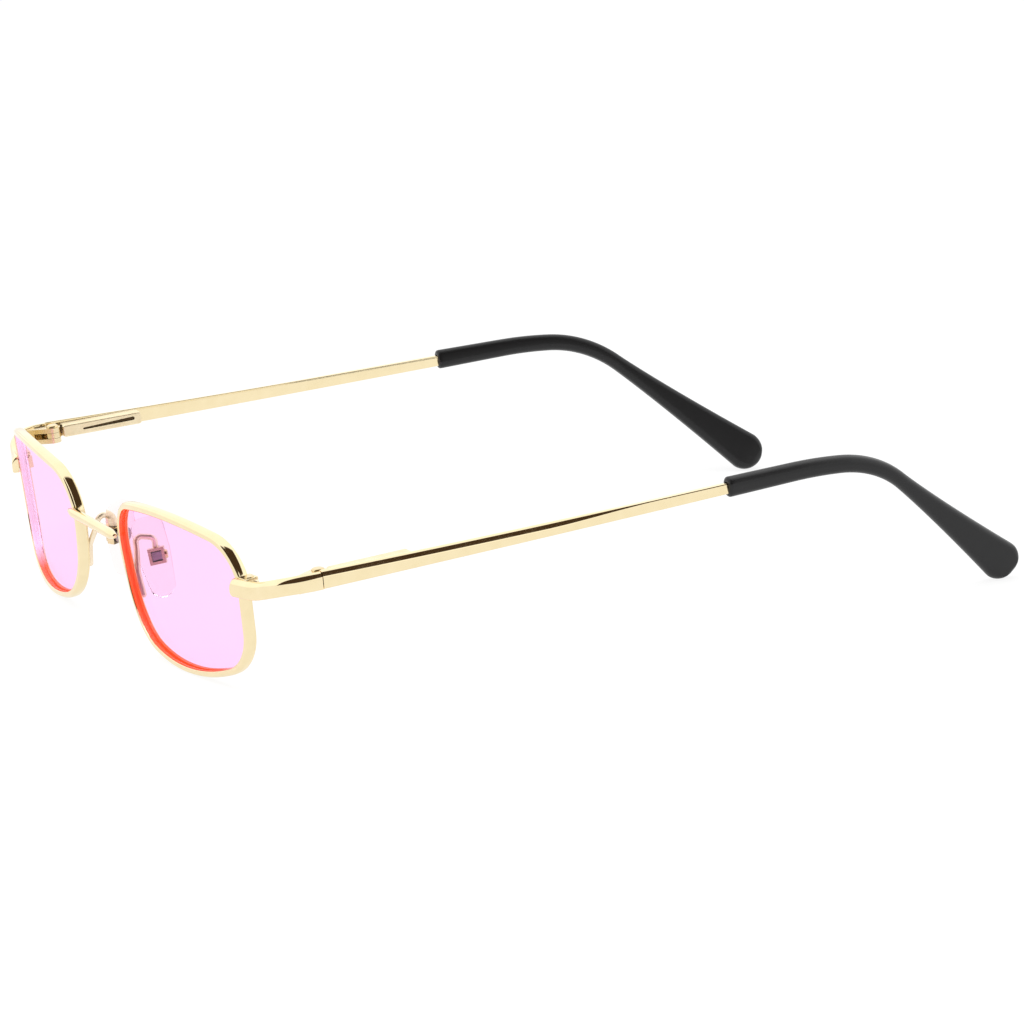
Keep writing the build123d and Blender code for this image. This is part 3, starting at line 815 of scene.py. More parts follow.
@dataclass(frozen=True)
class LensShape:
    """The rim's outline and the curve that the rim and the lens share."""

    origin: tuple = (32.96, 0.0, 0.0)
    across: tuple = (0.993171, 0.116511, 0.006106)
    height: tuple = (0.0, -0.052336, 0.99863)
    front: tuple = (0.116671, -0.99181, -0.051979)
    half_width: float = 22.4
    half_height: float = 14.1
    base_radius: float = 110.0
    corners: tuple = ((-1.012, 0.801), (1.006, 0.765), (0.948, -0.697), (-0.821, -0.733))
    middles: tuple = ((0.0, 1.0), (0.98, 0.0), (0.0, -1.0), (-0.975, 0.0))
    radii: tuple = (9.0, 8.7, 9.15, 13.9)

    def arcs(self) -> tuple[np.ndarray, np.ndarray, np.ndarray, np.ndarray]:
        """The outline's eight arcs, clockwise as seen from the front.

        The four sides are circles through two corners and a middle. Each
        corner is a smaller circle that touches two sides from inside: its
        centre is as far from each side's centre as the two radii differ.

        Returns:
            Centres, radii, start angles and end angles.
        """
        half = np.array([self.half_width, self.half_height])
        corner = np.array(self.corners) * half
        middle = np.array(self.middles) * half
        start, end = corner, np.roll(corner, -1, axis=0)
        squares = [(points**2).sum(axis=1) for points in (start, middle, end)]
        a, b = 2 * (middle - start), 2 * (end - start)
        c, d = squares[1] - squares[0], squares[2] - squares[0]
        det = a[:, 0] * b[:, 1] - a[:, 1] * b[:, 0]
        side_centre = np.stack(
            [(c * b[:, 1] - a[:, 1] * d) / det, (a[:, 0] * d - c * b[:, 0]) / det], axis=1
        )
        side_radius = np.linalg.norm(start - side_centre, axis=1)
        before = np.roll(np.arange(4), 1)
        radius = np.array(self.radii)
        one, two = side_centre[before], side_centre
        reach_one, reach_two = side_radius[before] - radius, side_radius - radius
        gap = np.linalg.norm(two - one, axis=1)
        way = (two - one) / gap[:, None]
        along = (reach_one**2 - reach_two**2 + gap**2) / (2 * gap)
        off = np.sqrt(reach_one**2 - along**2)[:, None]
        foot = one + way * along[:, None]
        turned = np.stack([-way[:, 1], way[:, 0]], axis=1)
        choices = np.stack([foot + turned * off, foot - turned * off])
        nearer = np.argmin(np.linalg.norm(choices - corner, axis=2), axis=0)
        fillet = choices[nearer, np.arange(4)]
        enter, leave = (np.arctan2(way[:, 1], way[:, 0]) for way in (fillet - one, fillet - two))
        centres = np.stack([fillet, side_centre], axis=1).reshape(-1, 2)
        radii = np.stack([radius, side_radius], axis=1).ravel()
        starts = np.stack([enter, leave], axis=1).ravel()
        ends = np.roll(starts, -1)
        ends = starts - np.mod(starts - ends, 2 * pi)
        return centres, radii, starts, ends

    def outline(self, count: int, gap_height: float, gap: float) -> tuple[np.ndarray, np.ndarray]:
        """Points and outward ways along the outline, split at the temporal side.

        Args:
            count: Number of points.
            gap_height: Height of the middle of the split.
            gap: Width left open there, 0 for a closed outline.

        Returns:
            Points and unit outward ways, each count by 2.
        """
        centres, radii, starts, ends = self.arcs()
        lengths = radii * (starts - ends)
        edge = np.concatenate([[0.0], np.cumsum(lengths)])
        split = 3  # the arc of the temporal side
        level = (gap_height - centres[split, 1]) / radii[split]
        at = edge[split] + radii[split] * (starts[split] - np.arcsin(level))
        wanted = at + np.linspace(gap / 2, edge[-1] - gap / 2, count)
        wanted = np.mod(wanted, edge[-1])
        index = np.clip(np.searchsorted(edge, wanted, side="right") - 1, 0, 7)
        angle = starts[index] - (wanted - edge[index]) / radii[index]
        ways = np.stack([np.cos(angle), np.sin(angle)], axis=1)
        return centres[index] + ways * radii[index][:, None], ways

    def bend(self, flat: np.ndarray, depth: np.ndarray | float) -> np.ndarray:
        """Lay flat points on the lens curve.

        The curve is a cylinder of base_radius whose axis stands behind the
        lens: a point's local height is the root of the squared radius, less
        its depth, minus its squared distance across, minus the radius.

        Args:
            flat: Points across and up, last axis 2.
            depth: How deep behind the front surface, per point.

        Returns:
            Worn points, last axis 3.
        """
        rise = np.sqrt((self.base_radius - depth) ** 2 - flat[..., 0] ** 2) - self.base_radius
        local = np.stack([flat[..., 0], flat[..., 1], rise], axis=-1)
        axes = np.array([self.across, self.height, self.front])
        return local @ axes + np.array(self.origin)


@dataclass(frozen=True)
class Rim:
    """A rim wire: rounded outside, grooved inside, split at the temporal side."""

    shape: LensShape
    face: float = 1.15
    depth: float = 1.9
    outer_round: float = 0.3
    inner_round: float = 0.14
    groove_depth: float = 0.55
    groove_width: float = 0.7
    groove_round: float = 0.05
    crown: float = 0.17
    crown_steps: int = 13
    split_height: float = 5.5
    split_gap: float = 0.3
    rings: int = 420

    def section(self) -> np.ndarray:
        """The wire's section: inset from the outline, and depth behind the front.

        The outer wall is crowned: its inset falls as the square of the
        distance from the middle of the depth, and meets the front and the
        back face in small rounds.

        Returns:
            The section's points, n by 2.
        """
        wall = (self.depth - self.groove_width) / 2
        floor = self.face - self.groove_depth
        corners = np.array(
            [
                (self.crown, 0.0),
                (self.face, 0.0),
                (self.face, wall),
                (floor, wall),
                (floor, self.depth - wall),
                (self.face, self.depth - wall),
                (self.face, self.depth),
                (self.crown, self.depth),
            ]
        )
        outer, inner = self.outer_round, self.inner_round
        radii = np.array([outer, inner, *[self.groove_round] * 4, inner, outer])
        rounded = soften(corners, radii)
        share = np.linspace(1, -1, self.crown_steps + 2)[1:-1]
        from_middle = share * (1 - outer / (self.depth / 2))
        wall = np.stack(
            [self.crown * from_middle**2, self.depth / 2 * (1 + from_middle)], axis=1
        )
        return np.concatenate([rounded, wall])

    def make(self, side: Side, palette: Palette) -> bpy.types.Object:
        """Carry the section along the outline, each point inset along its outward way.

        Args:
            side: The rim's side.
            palette: The finishes.

        Returns:
            The rim.
        """
        points, ways = self.shape.outline(self.rings, self.split_height, self.split_gap)
        section = self.section()
        flat = points[:, None] - ways[:, None] * section[None, :, :1]
        rings = self.shape.bend(flat, np.broadcast_to(section[None, :, 1], flat.shape[:2]))
        piece = build(f"{side.word}_rim_wire", rings, side, [palette.gold])
        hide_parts(f"{side.word}_rim")
        return piece


@dataclass(frozen=True)
class Lens:
    """A curved lens, its edge ground to a bevel that sits in the rim's groove."""

    shape: LensShape
    edge_inset: float = 1.19
    bevel_inset: float = 0.64
    front: float = 0.2
    back: float = 1.7
    bevel_front: float = 0.64
    bevel_back: float = 1.26
    ease: float = 0.06
    crease: float = 25.0
    steps: int = 256
    face_rings: int = 40
    heart: float = 0.004

    def make(self, side: Side, palette: Palette) -> bpy.types.Object:
        """Rings from the middle of the front, over the ground edge, to the middle of the back.

        Args:
            side: The lens's side.
            palette: The finishes.

        Returns:
            The lens, its edge in a finish of its own.
        """
        points, ways = self.shape.outline(self.steps + 1, 0.0, 0.0)
        points, ways = points[:-1], ways[:-1]
        share = np.linspace(self.heart, 1, self.face_rings) ** 0.8
        inner = self.edge_inset + self.ease
        edge = np.array(
            [
                (self.edge_inset, self.front + self.ease),
                (self.edge_inset, self.bevel_front),
                (self.bevel_inset + self.ease, self.bevel_front + self.ease),
                (self.bevel_inset, (self.bevel_front + self.bevel_back) / 2),
                (self.bevel_inset + self.ease, self.bevel_back - self.ease),
                (self.edge_inset, self.bevel_back),
                (self.edge_inset, self.back - self.ease),
            ]
        )
        size = np.concatenate([share, np.ones(len(edge)), share[::-1]])[:, None, None]
        face = np.ones(self.face_rings)
        inset = np.concatenate([face * inner, edge[:, 0], face * inner])
        depth = np.concatenate([face * self.front, edge[:, 1], face * self.back])
        flat = (points[None] - ways[None] * inset[:, None, None]) * size
        rings = self.shape.bend(flat, np.broadcast_to(depth[:, None], flat.shape[:2]))
        slots = np.zeros(len(rings) - 1, dtype=int)
        slots[self.face_rings - 1 : 1 - self.face_rings] = 1
        materials = [palette.lens, palette.lens_edge]
        piece = build(f"{side.word}_tinted_lens", rings, side, materials, slots, self.crease)
        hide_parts(f"{side.word}_lens")
        return piece


@dataclass(frozen=True)
class Bridge:
    """A straight round bar with softly tapered ends, brazed on the rims' fronts."""

    half: float = 11.444
    y: float = -1.35216
    z: float = 5.67522
    radius: float = 0.88
    end_radius: float = 0.45
    last_radius: float = 0.004
    taper: float = 3.0
    nose: float = 0.35
    steps: int = 24

    def make(self, palette: Palette) -> bpy.types.Object:
        """Turn the bar's radius, a function of the distance along it, about its axis.

        The radius stays whole to the taper, falls along a cosine to the end
        radius, and closes in a quarter ellipse.

        Args:
            palette: The finishes.

        Returns:
            The bridge.
        """
        inner = np.linspace(0, self.half - self.taper, self.steps)
        slope = np.linspace(0, 1, self.steps)[1:]
        cap = np.linspace(0, pi / 2, self.steps // 2)[1:]
        outer = self.half - self.taper + slope * (self.taper - self.nose)
        along = np.concatenate([inner, outer, self.half - self.nose + self.nose * np.sin(cap)])
        fall = (1 - np.cos(slope * pi / 2)) * (self.radius - self.end_radius)
        close = np.maximum(self.end_radius * np.cos(cap), self.last_radius)
        radius = np.concatenate([np.full(self.steps, self.radius), self.radius - fall, close])
        along = np.concatenate([-along[:0:-1], along])
        radius = np.concatenate([radius[:0:-1], radius])
        line = np.array([[x, self.y, self.z] for x in along])
        _, back, up = np.eye(3)
        rings = tube(line, back, up, radius[:, None, None], 2 * self.steps)
        piece = build("bridge_bar", rings, Side.LEFT, [palette.gold])
        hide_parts("bridge")
        return piece


@dataclass(frozen=True)
class CrownedStrip:
    """The section of the end pieces and temples: flat, with a round upper edge."""

    thickness: float = 1.2
    crown_sine: float = 0.895
    top_round: float = 0.15
    bottom_round: float = 0.3
    inner_round: float = 0.1

    def section(self, half: np.ndarray, crown: np.ndarray) -> np.ndarray:
        """Sections along a strip: how far in from the outer face, and how far up.

        Up the outer face the section runs on a small corner, straight, on the
        crown's arc from upright to the tilt whose sine is crown_sine, on a
        small arc to level, then round the top and down the inner face.

        Args:
            half: Half the height at each place along the strip.
            crown: Radius of the crown at each place.

        Returns:
            Points, places by points by 2.
        """
        half, crown = half[:, None], crown[:, None]
        room = 2 * half - self.bottom_round - self.top_round
        crown = np.minimum(crown, room / self.crown_sine + self.top_round)
        steep = np.arcsin(self.crown_sine)
        low = np.linspace(1.5 * pi, pi, 6)[None]
        tilt = np.linspace(0, steep, 14)[None]
        turn = np.linspace(steep, pi / 2, 5)[None, 1:]
        start = half - (crown - self.top_round) * self.crown_sine - self.top_round
        centre_in = crown - (crown - self.top_round) * np.cos(steep)
        inner, thick = self.inner_round, self.thickness
        upper = np.linspace(pi / 2, 0, 4)[None]
        lower = np.linspace(0, -pi / 2, 4)[None]
        one = np.ones_like(half)
        inward = [
            self.bottom_round + self.bottom_round * np.cos(low) * one,
            crown * (1 - np.cos(tilt)),
            centre_in - self.top_round * np.cos(turn),
            thick - inner + inner * np.cos(upper) * one,
            thick - inner + inner * np.cos(lower) * one,
        ]
        upward = [
            -half + self.bottom_round + self.bottom_round * np.sin(low),
            start + crown * np.sin(tilt),
            half - self.top_round + self.top_round * np.sin(turn),
            half - inner + inner * np.sin(upper),
            -half + inner + inner * np.sin(lower),
        ]
        return np.stack([np.concatenate(inward, axis=1), np.concatenate(upward, axis=1)], axis=-1)


@dataclass(frozen=True)
class EndPiece:
    """The band from the rim's front round to the hinge."""

    tip: tuple = (54.53393, 3.26928)
    corner: tuple = (67.78025, 7.5795)
    split: tuple = (67.3645, 14.1872)
    bend_radius: float = 7.5
    half_height: float = 1.525
    tip_level: float = 4.63718
    hinge_level: float = 6.55
    level_run: float = 4.5
    rise_run: float = 12.3
    rise_radius: float = 15.0
    corner_radius: float = 0.6
    reach: float = 1.1
    crown: float = 1.39
    lead_power: float = 1.6
    strip: CrownedStrip = CrownedStrip()

    def level(self, x: np.ndarray) -> np.ndarray:
        """Height of the band's middle: level, a slope, level, with arcs between.

        Args:
            x: How far out each place lies.

        Returns:
            The height at each place.
        """
        first, last = self.tip[0] + self.level_run, self.tip[0] + self.rise_run
        slope = np.arctan((self.hinge_level - self.tip_level) / (last - first))
        reach = self.rise_radius * np.tan(slope / 2)
        straight = self.tip_level + np.clip(x - first, 0, last - first) * np.tan(slope)
        near = np.clip(x - (first - reach), 0, reach * (1 + np.cos(slope)))
        far = np.clip((last + reach) - x, 0, reach * (1 + np.cos(slope)))
        rise = self.rise_radius - np.sqrt(self.rise_radius**2 - near**2)
        fall = self.rise_radius - np.sqrt(self.rise_radius**2 - far**2)
        low = (x > first - reach) & (x < first + reach * np.cos(slope))
        high = (x > last - reach * np.cos(slope)) & (x < last + reach)
        level = np.where(low, self.tip_level + rise, straight)
        return np.where(high, self.hinge_level - fall, level)

    def make(self, side: Side, palette: Palette) -> bpy.types.Object:
        """Carry the crowned section along the band's plan.

        Args:
            side: The end piece's side.
            palette: The finishes.

        Returns:
            The end piece.
        """
        tip, corner = np.array(self.tip), np.array(self.corner)
        tip = tip - unit(corner - tip) * self.reach
        plan = round_corners(np.array([tip, corner, self.split]), self.bend_radius, 40)
        path = resample(plan, 90)
        # More rings at the tip, for the round of its corners.
        share = np.linspace(0, 1, 9)[:-1, None] ** self.lead_power
        path = np.concatenate([path[0] + (path[1] - path[0]) * share, path[1:]])
        way = unit(np.gradient(path, axis=0))
        outer = np.stack([way[:, 1], -way[:, 0]], axis=1)
        run = np.concatenate([[0], np.cumsum(np.linalg.norm(np.diff(path, axis=0), axis=1))])
        half = self.half_height - eased_in(run, self.corner_radius)
        section = self.strip.section(half, np.full(len(path), self.crown))
        plan = path[:, None] - outer[:, None] * section[..., :1]
        height = self.level(plan[..., 0]) + section[..., 1]
        rings = np.concatenate([plan, height[..., None]], axis=-1)
        piece = build(f"{side.word}_end_band", rings, side, [palette.gold])
        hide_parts(f"{side.word}_end_piece")
        return piece


@dataclass(frozen=True)
class HingeFrame:
    """The hinge's origin, the middle of the temple there, and the ways from it."""

    origin: tuple = (64.0526, 14.7504, 6.15)
    toe_in: float = 3.6
    level: float = 0.4

    def axes(self) -> tuple[np.ndarray, np.ndarray, np.ndarray]:
        """The temple's own axes.

        Returns:
            Unit ways outward, backward and up.
        """
        angle = radians(self.toe_in)
        outward = np.array([cos(angle), sin(angle), 0.0])
        backward = np.array([-sin(angle), cos(angle), 0.0])
        return outward, backward, np.array([0.0, 0.0, 1.0])

    def base(self, drop: float = 0.0) -> np.ndarray:
        """The middle of the temple beside the hinge, or a drop below it."""
        return np.array(self.origin) + np.array([0.0, 0.0, self.level - drop])


@dataclass(frozen=True)
class TempleBar:
    """The flat metal strip of a temple, narrowing to the tip."""

    hinge: HingeFrame
    start: float = -0.63
    end: float = 76.7
    outer: float = 3.27
    heights: tuple = (3.05, 2.3, 1.85)
    drops: tuple = (0.0, 0.35, 0.37)
    crown: float = 1.39
    crown_end: float = 0.3
    fade: tuple = (40.0, 62.0)
    strip: CrownedStrip = CrownedStrip()

    def make(self, side: Side, palette: Palette) -> bpy.types.Object:
        """Carry the crowned section backward along the temple.

        The upper and lower edge are each a parabola through three heights,
        and the crown's radius falls smoothly to crown_end along fade.

        Args:
            side: The temple's side.
            palette: The finishes.

        Returns:
            The bar.
        """
        outward, backward, up = self.hinge.axes()
        along = np.linspace(self.start, self.end, 110)
        share = (along - self.start) / (self.end - self.start)
        weights = np.stack(
            [2 * (share - 0.5) * (share - 1), -4 * share * (share - 1), 2 * share * (share - 0.5)]
        )
        half = 0.5 * (np.array(self.heights) @ weights)
        drop = np.array(self.drops) @ weights
        going = np.clip((along - self.fade[0]) / (self.fade[1] - self.fade[0]), 0, 1)
        going = going**2 * (3 - 2 * going)
        section = self.strip.section(half, self.crown + (self.crown_end - self.crown) * going)
        rings = (
            self.hinge.base()
            + outward * (self.outer - section[..., :1])
            + backward * along[:, None, None]
            + up * (section[..., 1:] - drop[:, None, None])
        )
        piece = build(f"{side.word}_temple_strip", rings, side, [palette.gold])
        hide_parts(f"{side.word}_temple_bar")
        return piece


@dataclass(frozen=True)
class TempleTip:
    """The black sleeve over the temple's end, bent down behind the ear."""

    hinge: HingeFrame
    start: float = 75.1
    middle: float = 2.67
    drop: float = 0.2
    lean: float = 16.0
    sag_start: float = 87.9
    sag_radius: float = 74.8
    bend_start: float = 97.1
    bend_radius: float = 21.7
    bend_angle: float = 43.7
    length: float = 33.42
    mouth: float = 1.73
    waist: float = 1.34
    paddle: float = 3.5
    swelling: float = 1.4
    half_thickness: float = 1.4
    edge_round: float = 1.2
    mouth_round: float = 0.5
    socket_share: float = 0.78
    socket_depth: float = 0.5
    crease: float = 40.0
    steps: int = 64

    @property
    def sagged(self) -> float:
        """The slack arc's angle, in radians."""
        return (self.bend_start - self.sag_start) / self.sag_radius

    @property
    def bend_end(self) -> float:
        """Distance along the line to the end of the bend."""
        return self.bend_start + self.bend_radius * (radians(self.bend_angle) - self.sagged)

    def middle_line(self, along: np.ndarray) -> tuple[np.ndarray, np.ndarray]:
        """The sleeve's middle line: straight, a slack arc, a tight arc down, straight on.

        The line's angle grows evenly along each arc, and its points are the
        running sum of its way.

        Args:
            along: Distance from the hinge along the line.

        Returns:
            Points and upward ways in the sleeve's plane, each n by 2.
        """
        stops = [self.start, self.sag_start, self.bend_start, self.bend_end]
        turns = [0, 0, self.sagged, radians(self.bend_angle)]
        fine = np.linspace(self.start, along[-1], 1500)
        angle = np.interp((fine[1:] + fine[:-1]) / 2, stops, turns)
        step = np.diff(fine)
        x = self.start + np.concatenate([[0], np.cumsum(np.cos(angle) * step)])
        y = -np.concatenate([[0], np.cumsum(np.sin(angle) * step)])
        points = np.stack([np.interp(along, fine, x), np.interp(along, fine, y)], axis=1)
        turned = np.interp(along, stops, turns)
        return points, np.stack([np.sin(turned), np.cos(turned)], axis=1)

    def make(self, side: Side, palette: Palette) -> bpy.types.Object:
        """Carry a rounded section along the middle line.

        The half height falls evenly from the mouth to the waist, grows from
        the bend's end to the paddle as a power of the way, and closes in a
        half circle; near both ends the thickness rounds over.

        Args:
            side: The tip's side.
            palette: The finishes.

        Returns:
            The tip.
        """
        outward, backward, up = self.hinge.axes()
        last = self.bend_end + self.length
        cap = last - self.paddle
        closing = np.linspace(0, pi / 2, 30)[1:]
        along = np.concatenate(
            [
                self.start + self.mouth_round * (1 - np.cos(np.linspace(0, pi / 2, 6))),
                np.linspace(self.start + self.mouth_round, cap, 110)[1:],
                cap + (self.paddle - 0.01) * np.sin(closing),
            ]
        )
        growth = np.clip((along - self.bend_end) / (cap - self.bend_end), 0, 1)
        fall = np.clip((along - self.start) / (self.bend_end - self.start), 0, 1)
        half = self.mouth + (self.waist - self.mouth) * fall
        half = half + (self.paddle - self.waist) * growth**self.swelling
        past = np.clip(along - cap, 0, self.paddle)
        half = np.where(along > cap, np.sqrt(self.paddle**2 - past**2), half)
        eased = eased_in(along - self.start, self.mouth_round)
        half = half - eased
        thick = self.half_thickness - eased_in(last - along, self.edge_round) - eased
        corner = np.minimum(np.minimum(self.edge_round, half), thick)[:, None]
        angle = (np.arange(self.steps) + 0.5) * (2 * pi / self.steps)
        high = np.sign(np.sin(angle)) * (half[:, None] - corner) + corner * np.sin(angle)
        wide = np.sign(np.cos(angle)) * (thick[:, None] - corner) + corner * np.cos(angle)
        points, ways = self.middle_line(along)
        flat = points[:, None] + ways[:, None] * high[..., None]
        lean = radians(self.lean)
        through = outward * cos(lean) - up * sin(lean)
        above = np.cross(through, backward)
        rings = (
            self.hinge.base(self.drop)
            + outward * self.middle
            + backward * flat[..., :1]
            + above * flat[..., 1:]
            + through * wide[..., None]
        )
        socket = rings[:1].mean(axis=1, keepdims=True)
        lip = socket + (rings[:1] - socket) * self.socket_share
        rings = np.concatenate([lip + backward * self.socket_depth, lip, rings])
        piece = build(f"{side.word}_tip_sleeve", rings, side, [palette.tip], None, self.crease)
        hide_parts(f"{side.word}_temple_tip")
        return piece


@dataclass(frozen=True)
class NosePad:
    """A clear pad: a soft-cornered plate, rounded towards the nose."""

    origin: tuple = (10.2, 6.2, 0.5)
    back_way: tuple = (0.386644, 0.914174, 0.121619)
    up_way: tuple = (-0.18718, -0.051341, 0.980983)
    out_way: tuple = (0.903034, -0.402056, 0.151265)
    circles: tuple = (
        (-1.6, 4.7, 2.0),
        (0.0, 4.7, 2.0),
        (-0.75, 0.5, 2.95),
        (-0.45, -5.1, 2.3),
    )
    back: float = 1.45
    thickness: float = 2.4
    face_round: float = 1.5
    back_round: float = 0.3

    def make(self, side: Side, palette: Palette) -> bpy.types.Object:
        """Rings over the pad, its face's edge in a wide round and its back's in a small one.

        Args:
            side: The pad's side.
            palette: The finishes.

        Returns:
            The pad.
        """
        points, ways = hull(self.circles, 128)
        front, rear = np.linspace(0, pi / 2, 14), np.linspace(0, pi / 2, 6)
        soft, hard = self.face_round, self.back_round
        inset = np.concatenate([soft * (1 - np.sin(front)), hard * (1 - np.cos(rear))])
        rise = [soft * (1 - np.cos(front)) - self.thickness, hard * (np.sin(rear) - 1)]
        depth = np.concatenate(rise) - self.back
        axes = np.array([self.back_way, self.up_way, self.out_way])
        rings = np.array(self.origin) + shell(points, ways, inset, depth) @ axes
        piece = build(f"{side.word}_clear_pad", rings, side, [palette.pad])
        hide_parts(f"{side.word}_nose_pad")
        return piece


@dataclass(frozen=True)
class PadArm:
    """The bent wire from the back of the rim to the pad's box."""

    points: tuple = (
        (13.2264, 1.9432, -4.905),
        (11.9161, 1.8313, -1.1057),
        (9.873, 2.7524, 2.3473),
        (9.069, 3.0173, 4.3639),
        (9.9379, 6.1281, 3.7734),
        (9.9379, 6.1281, 1.8734),
    )
    radius: float = 0.5
    bend_radius: float = 1.0
    foot_share: float = 0.02

    def make(self, side: Side, palette: Palette) -> bpy.types.Object:
        """Carry a circle along the bent line.

        The circle's ways come from the line's own way and the way across the
        plane that the line lies nearest to. Its foot closes in a dome.

        Args:
            side: The arm's side.
            palette: The finishes.

        Returns:
            The arm.
        """
        line = resample(round_corners(np.array(self.points), self.bend_radius, 14), 120)
        tangent = unit(np.gradient(line, axis=0))
        across = np.linalg.svd(line - line.mean(axis=0))[2][2]
        first = unit(across - tangent * (tangent @ across)[:, None])
        wire = tube(line, first, np.cross(tangent, first), self.radius, 28)
        dome = np.linspace(pi / 2, 0, 8)[:-1, None, None]
        low = line[0] - tangent[0] * self.radius * np.sin(dome)
        foot = low + (wire[:1] - line[0]) * np.maximum(np.cos(dome), self.foot_share)
        rings = np.concatenate([foot, wire])
        piece = build(f"{side.word}_pad_wire", rings, side, [palette.wire])
        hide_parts(f"{side.word}_pad_arm")
        return piece


@dataclass(frozen=True)
class SpringHousing:
    """The box on the temple's inner side that guides the hinge's sprung slider."""

    hinge: HingeFrame
    circles: tuple = (
        (2.25, 0.57, 0.45),
        (2.25, -0.7, 0.45),
        (16.2, 0.57, 0.45),
        (16.2, -0.7, 0.45),
    )
    slot: tuple = ((5.7, -0.15, 0.18), (15.0, 0.1, 0.33))
    face: float = -0.83
    foot: float = 2.1
    rolled: float = 0.3
    rolled_share: float = 0.75
    slot_depth: float = 0.25
    bore_axis: float = 0.62
    bore_radius: float = 0.95
    bore_ends: tuple = (1.0, 15.2)
    crease: float = 50.0
    steps: int = 160
    heart: float = 0.1

    def make(self, side: Side, palette: Palette) -> bpy.types.Object:
        """Rings from the slot's floor, out over the face, round the edge and down.

        Between the slot and the face's edge each ring is a share of the way
        from one outline to the other; the edge is a quarter round. A straight
        bore for the slider and its spring is then cut along the housing.

        Args:
            side: The housing's side.
            palette: The finishes.

        Returns:
            The housing.
        """
        outer, ways = hull(self.circles, self.steps)
        slot, _ = hull(self.slot, self.steps)
        middle = slot.mean(axis=0)
        turn = np.linspace(0, pi / 2, 9)[:, None, None]
        inset = ways * self.rolled * self.rolled_share
        share = np.linspace(0, 1, 7)[1:-1, None, None]
        floor = middle + (slot - middle) * np.linspace(self.heart, 1, 4)[:, None, None]
        face = slot + (outer - inset - slot) * share
        edge = outer - inset * (1 - np.sin(turn))
        back = middle + (outer - middle) * np.linspace(1, self.heart, 5)[:, None, None]
        flat = np.concatenate([floor, slot[None], face, edge, back])
        sunk = np.full((len(floor), 1, 1), self.face + self.slot_depth)
        level = np.full((1 + len(face), 1, 1), self.face)
        rounded = self.face + self.rolled * (1 - np.cos(turn))
        depth = np.concatenate([sunk, level, rounded, np.full((len(back), 1, 1), self.foot)])
        outward, backward, up = self.hinge.axes()
        base = self.hinge.base()
        rings = base + outward * depth + backward * flat[..., :1] + up * flat[..., 1:]
        slots = np.zeros(len(rings) - 1, dtype=int)
        # The slot's floor takes the dark finish of painted shade.
        slots[: len(floor)] = 1
        materials = [palette.housing, palette.hollow]
        piece = build(f"{side.word}_slotted_housing", rings, side, materials, slots, self.crease)
        axis = base + outward * self.bore_axis + backward * np.array(self.bore_ends)[:, None]
        drill(piece, tube(axis, outward, up, self.bore_radius, 48), side, self.crease)
        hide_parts(f"{side.word}_spring_housing")
        return piece


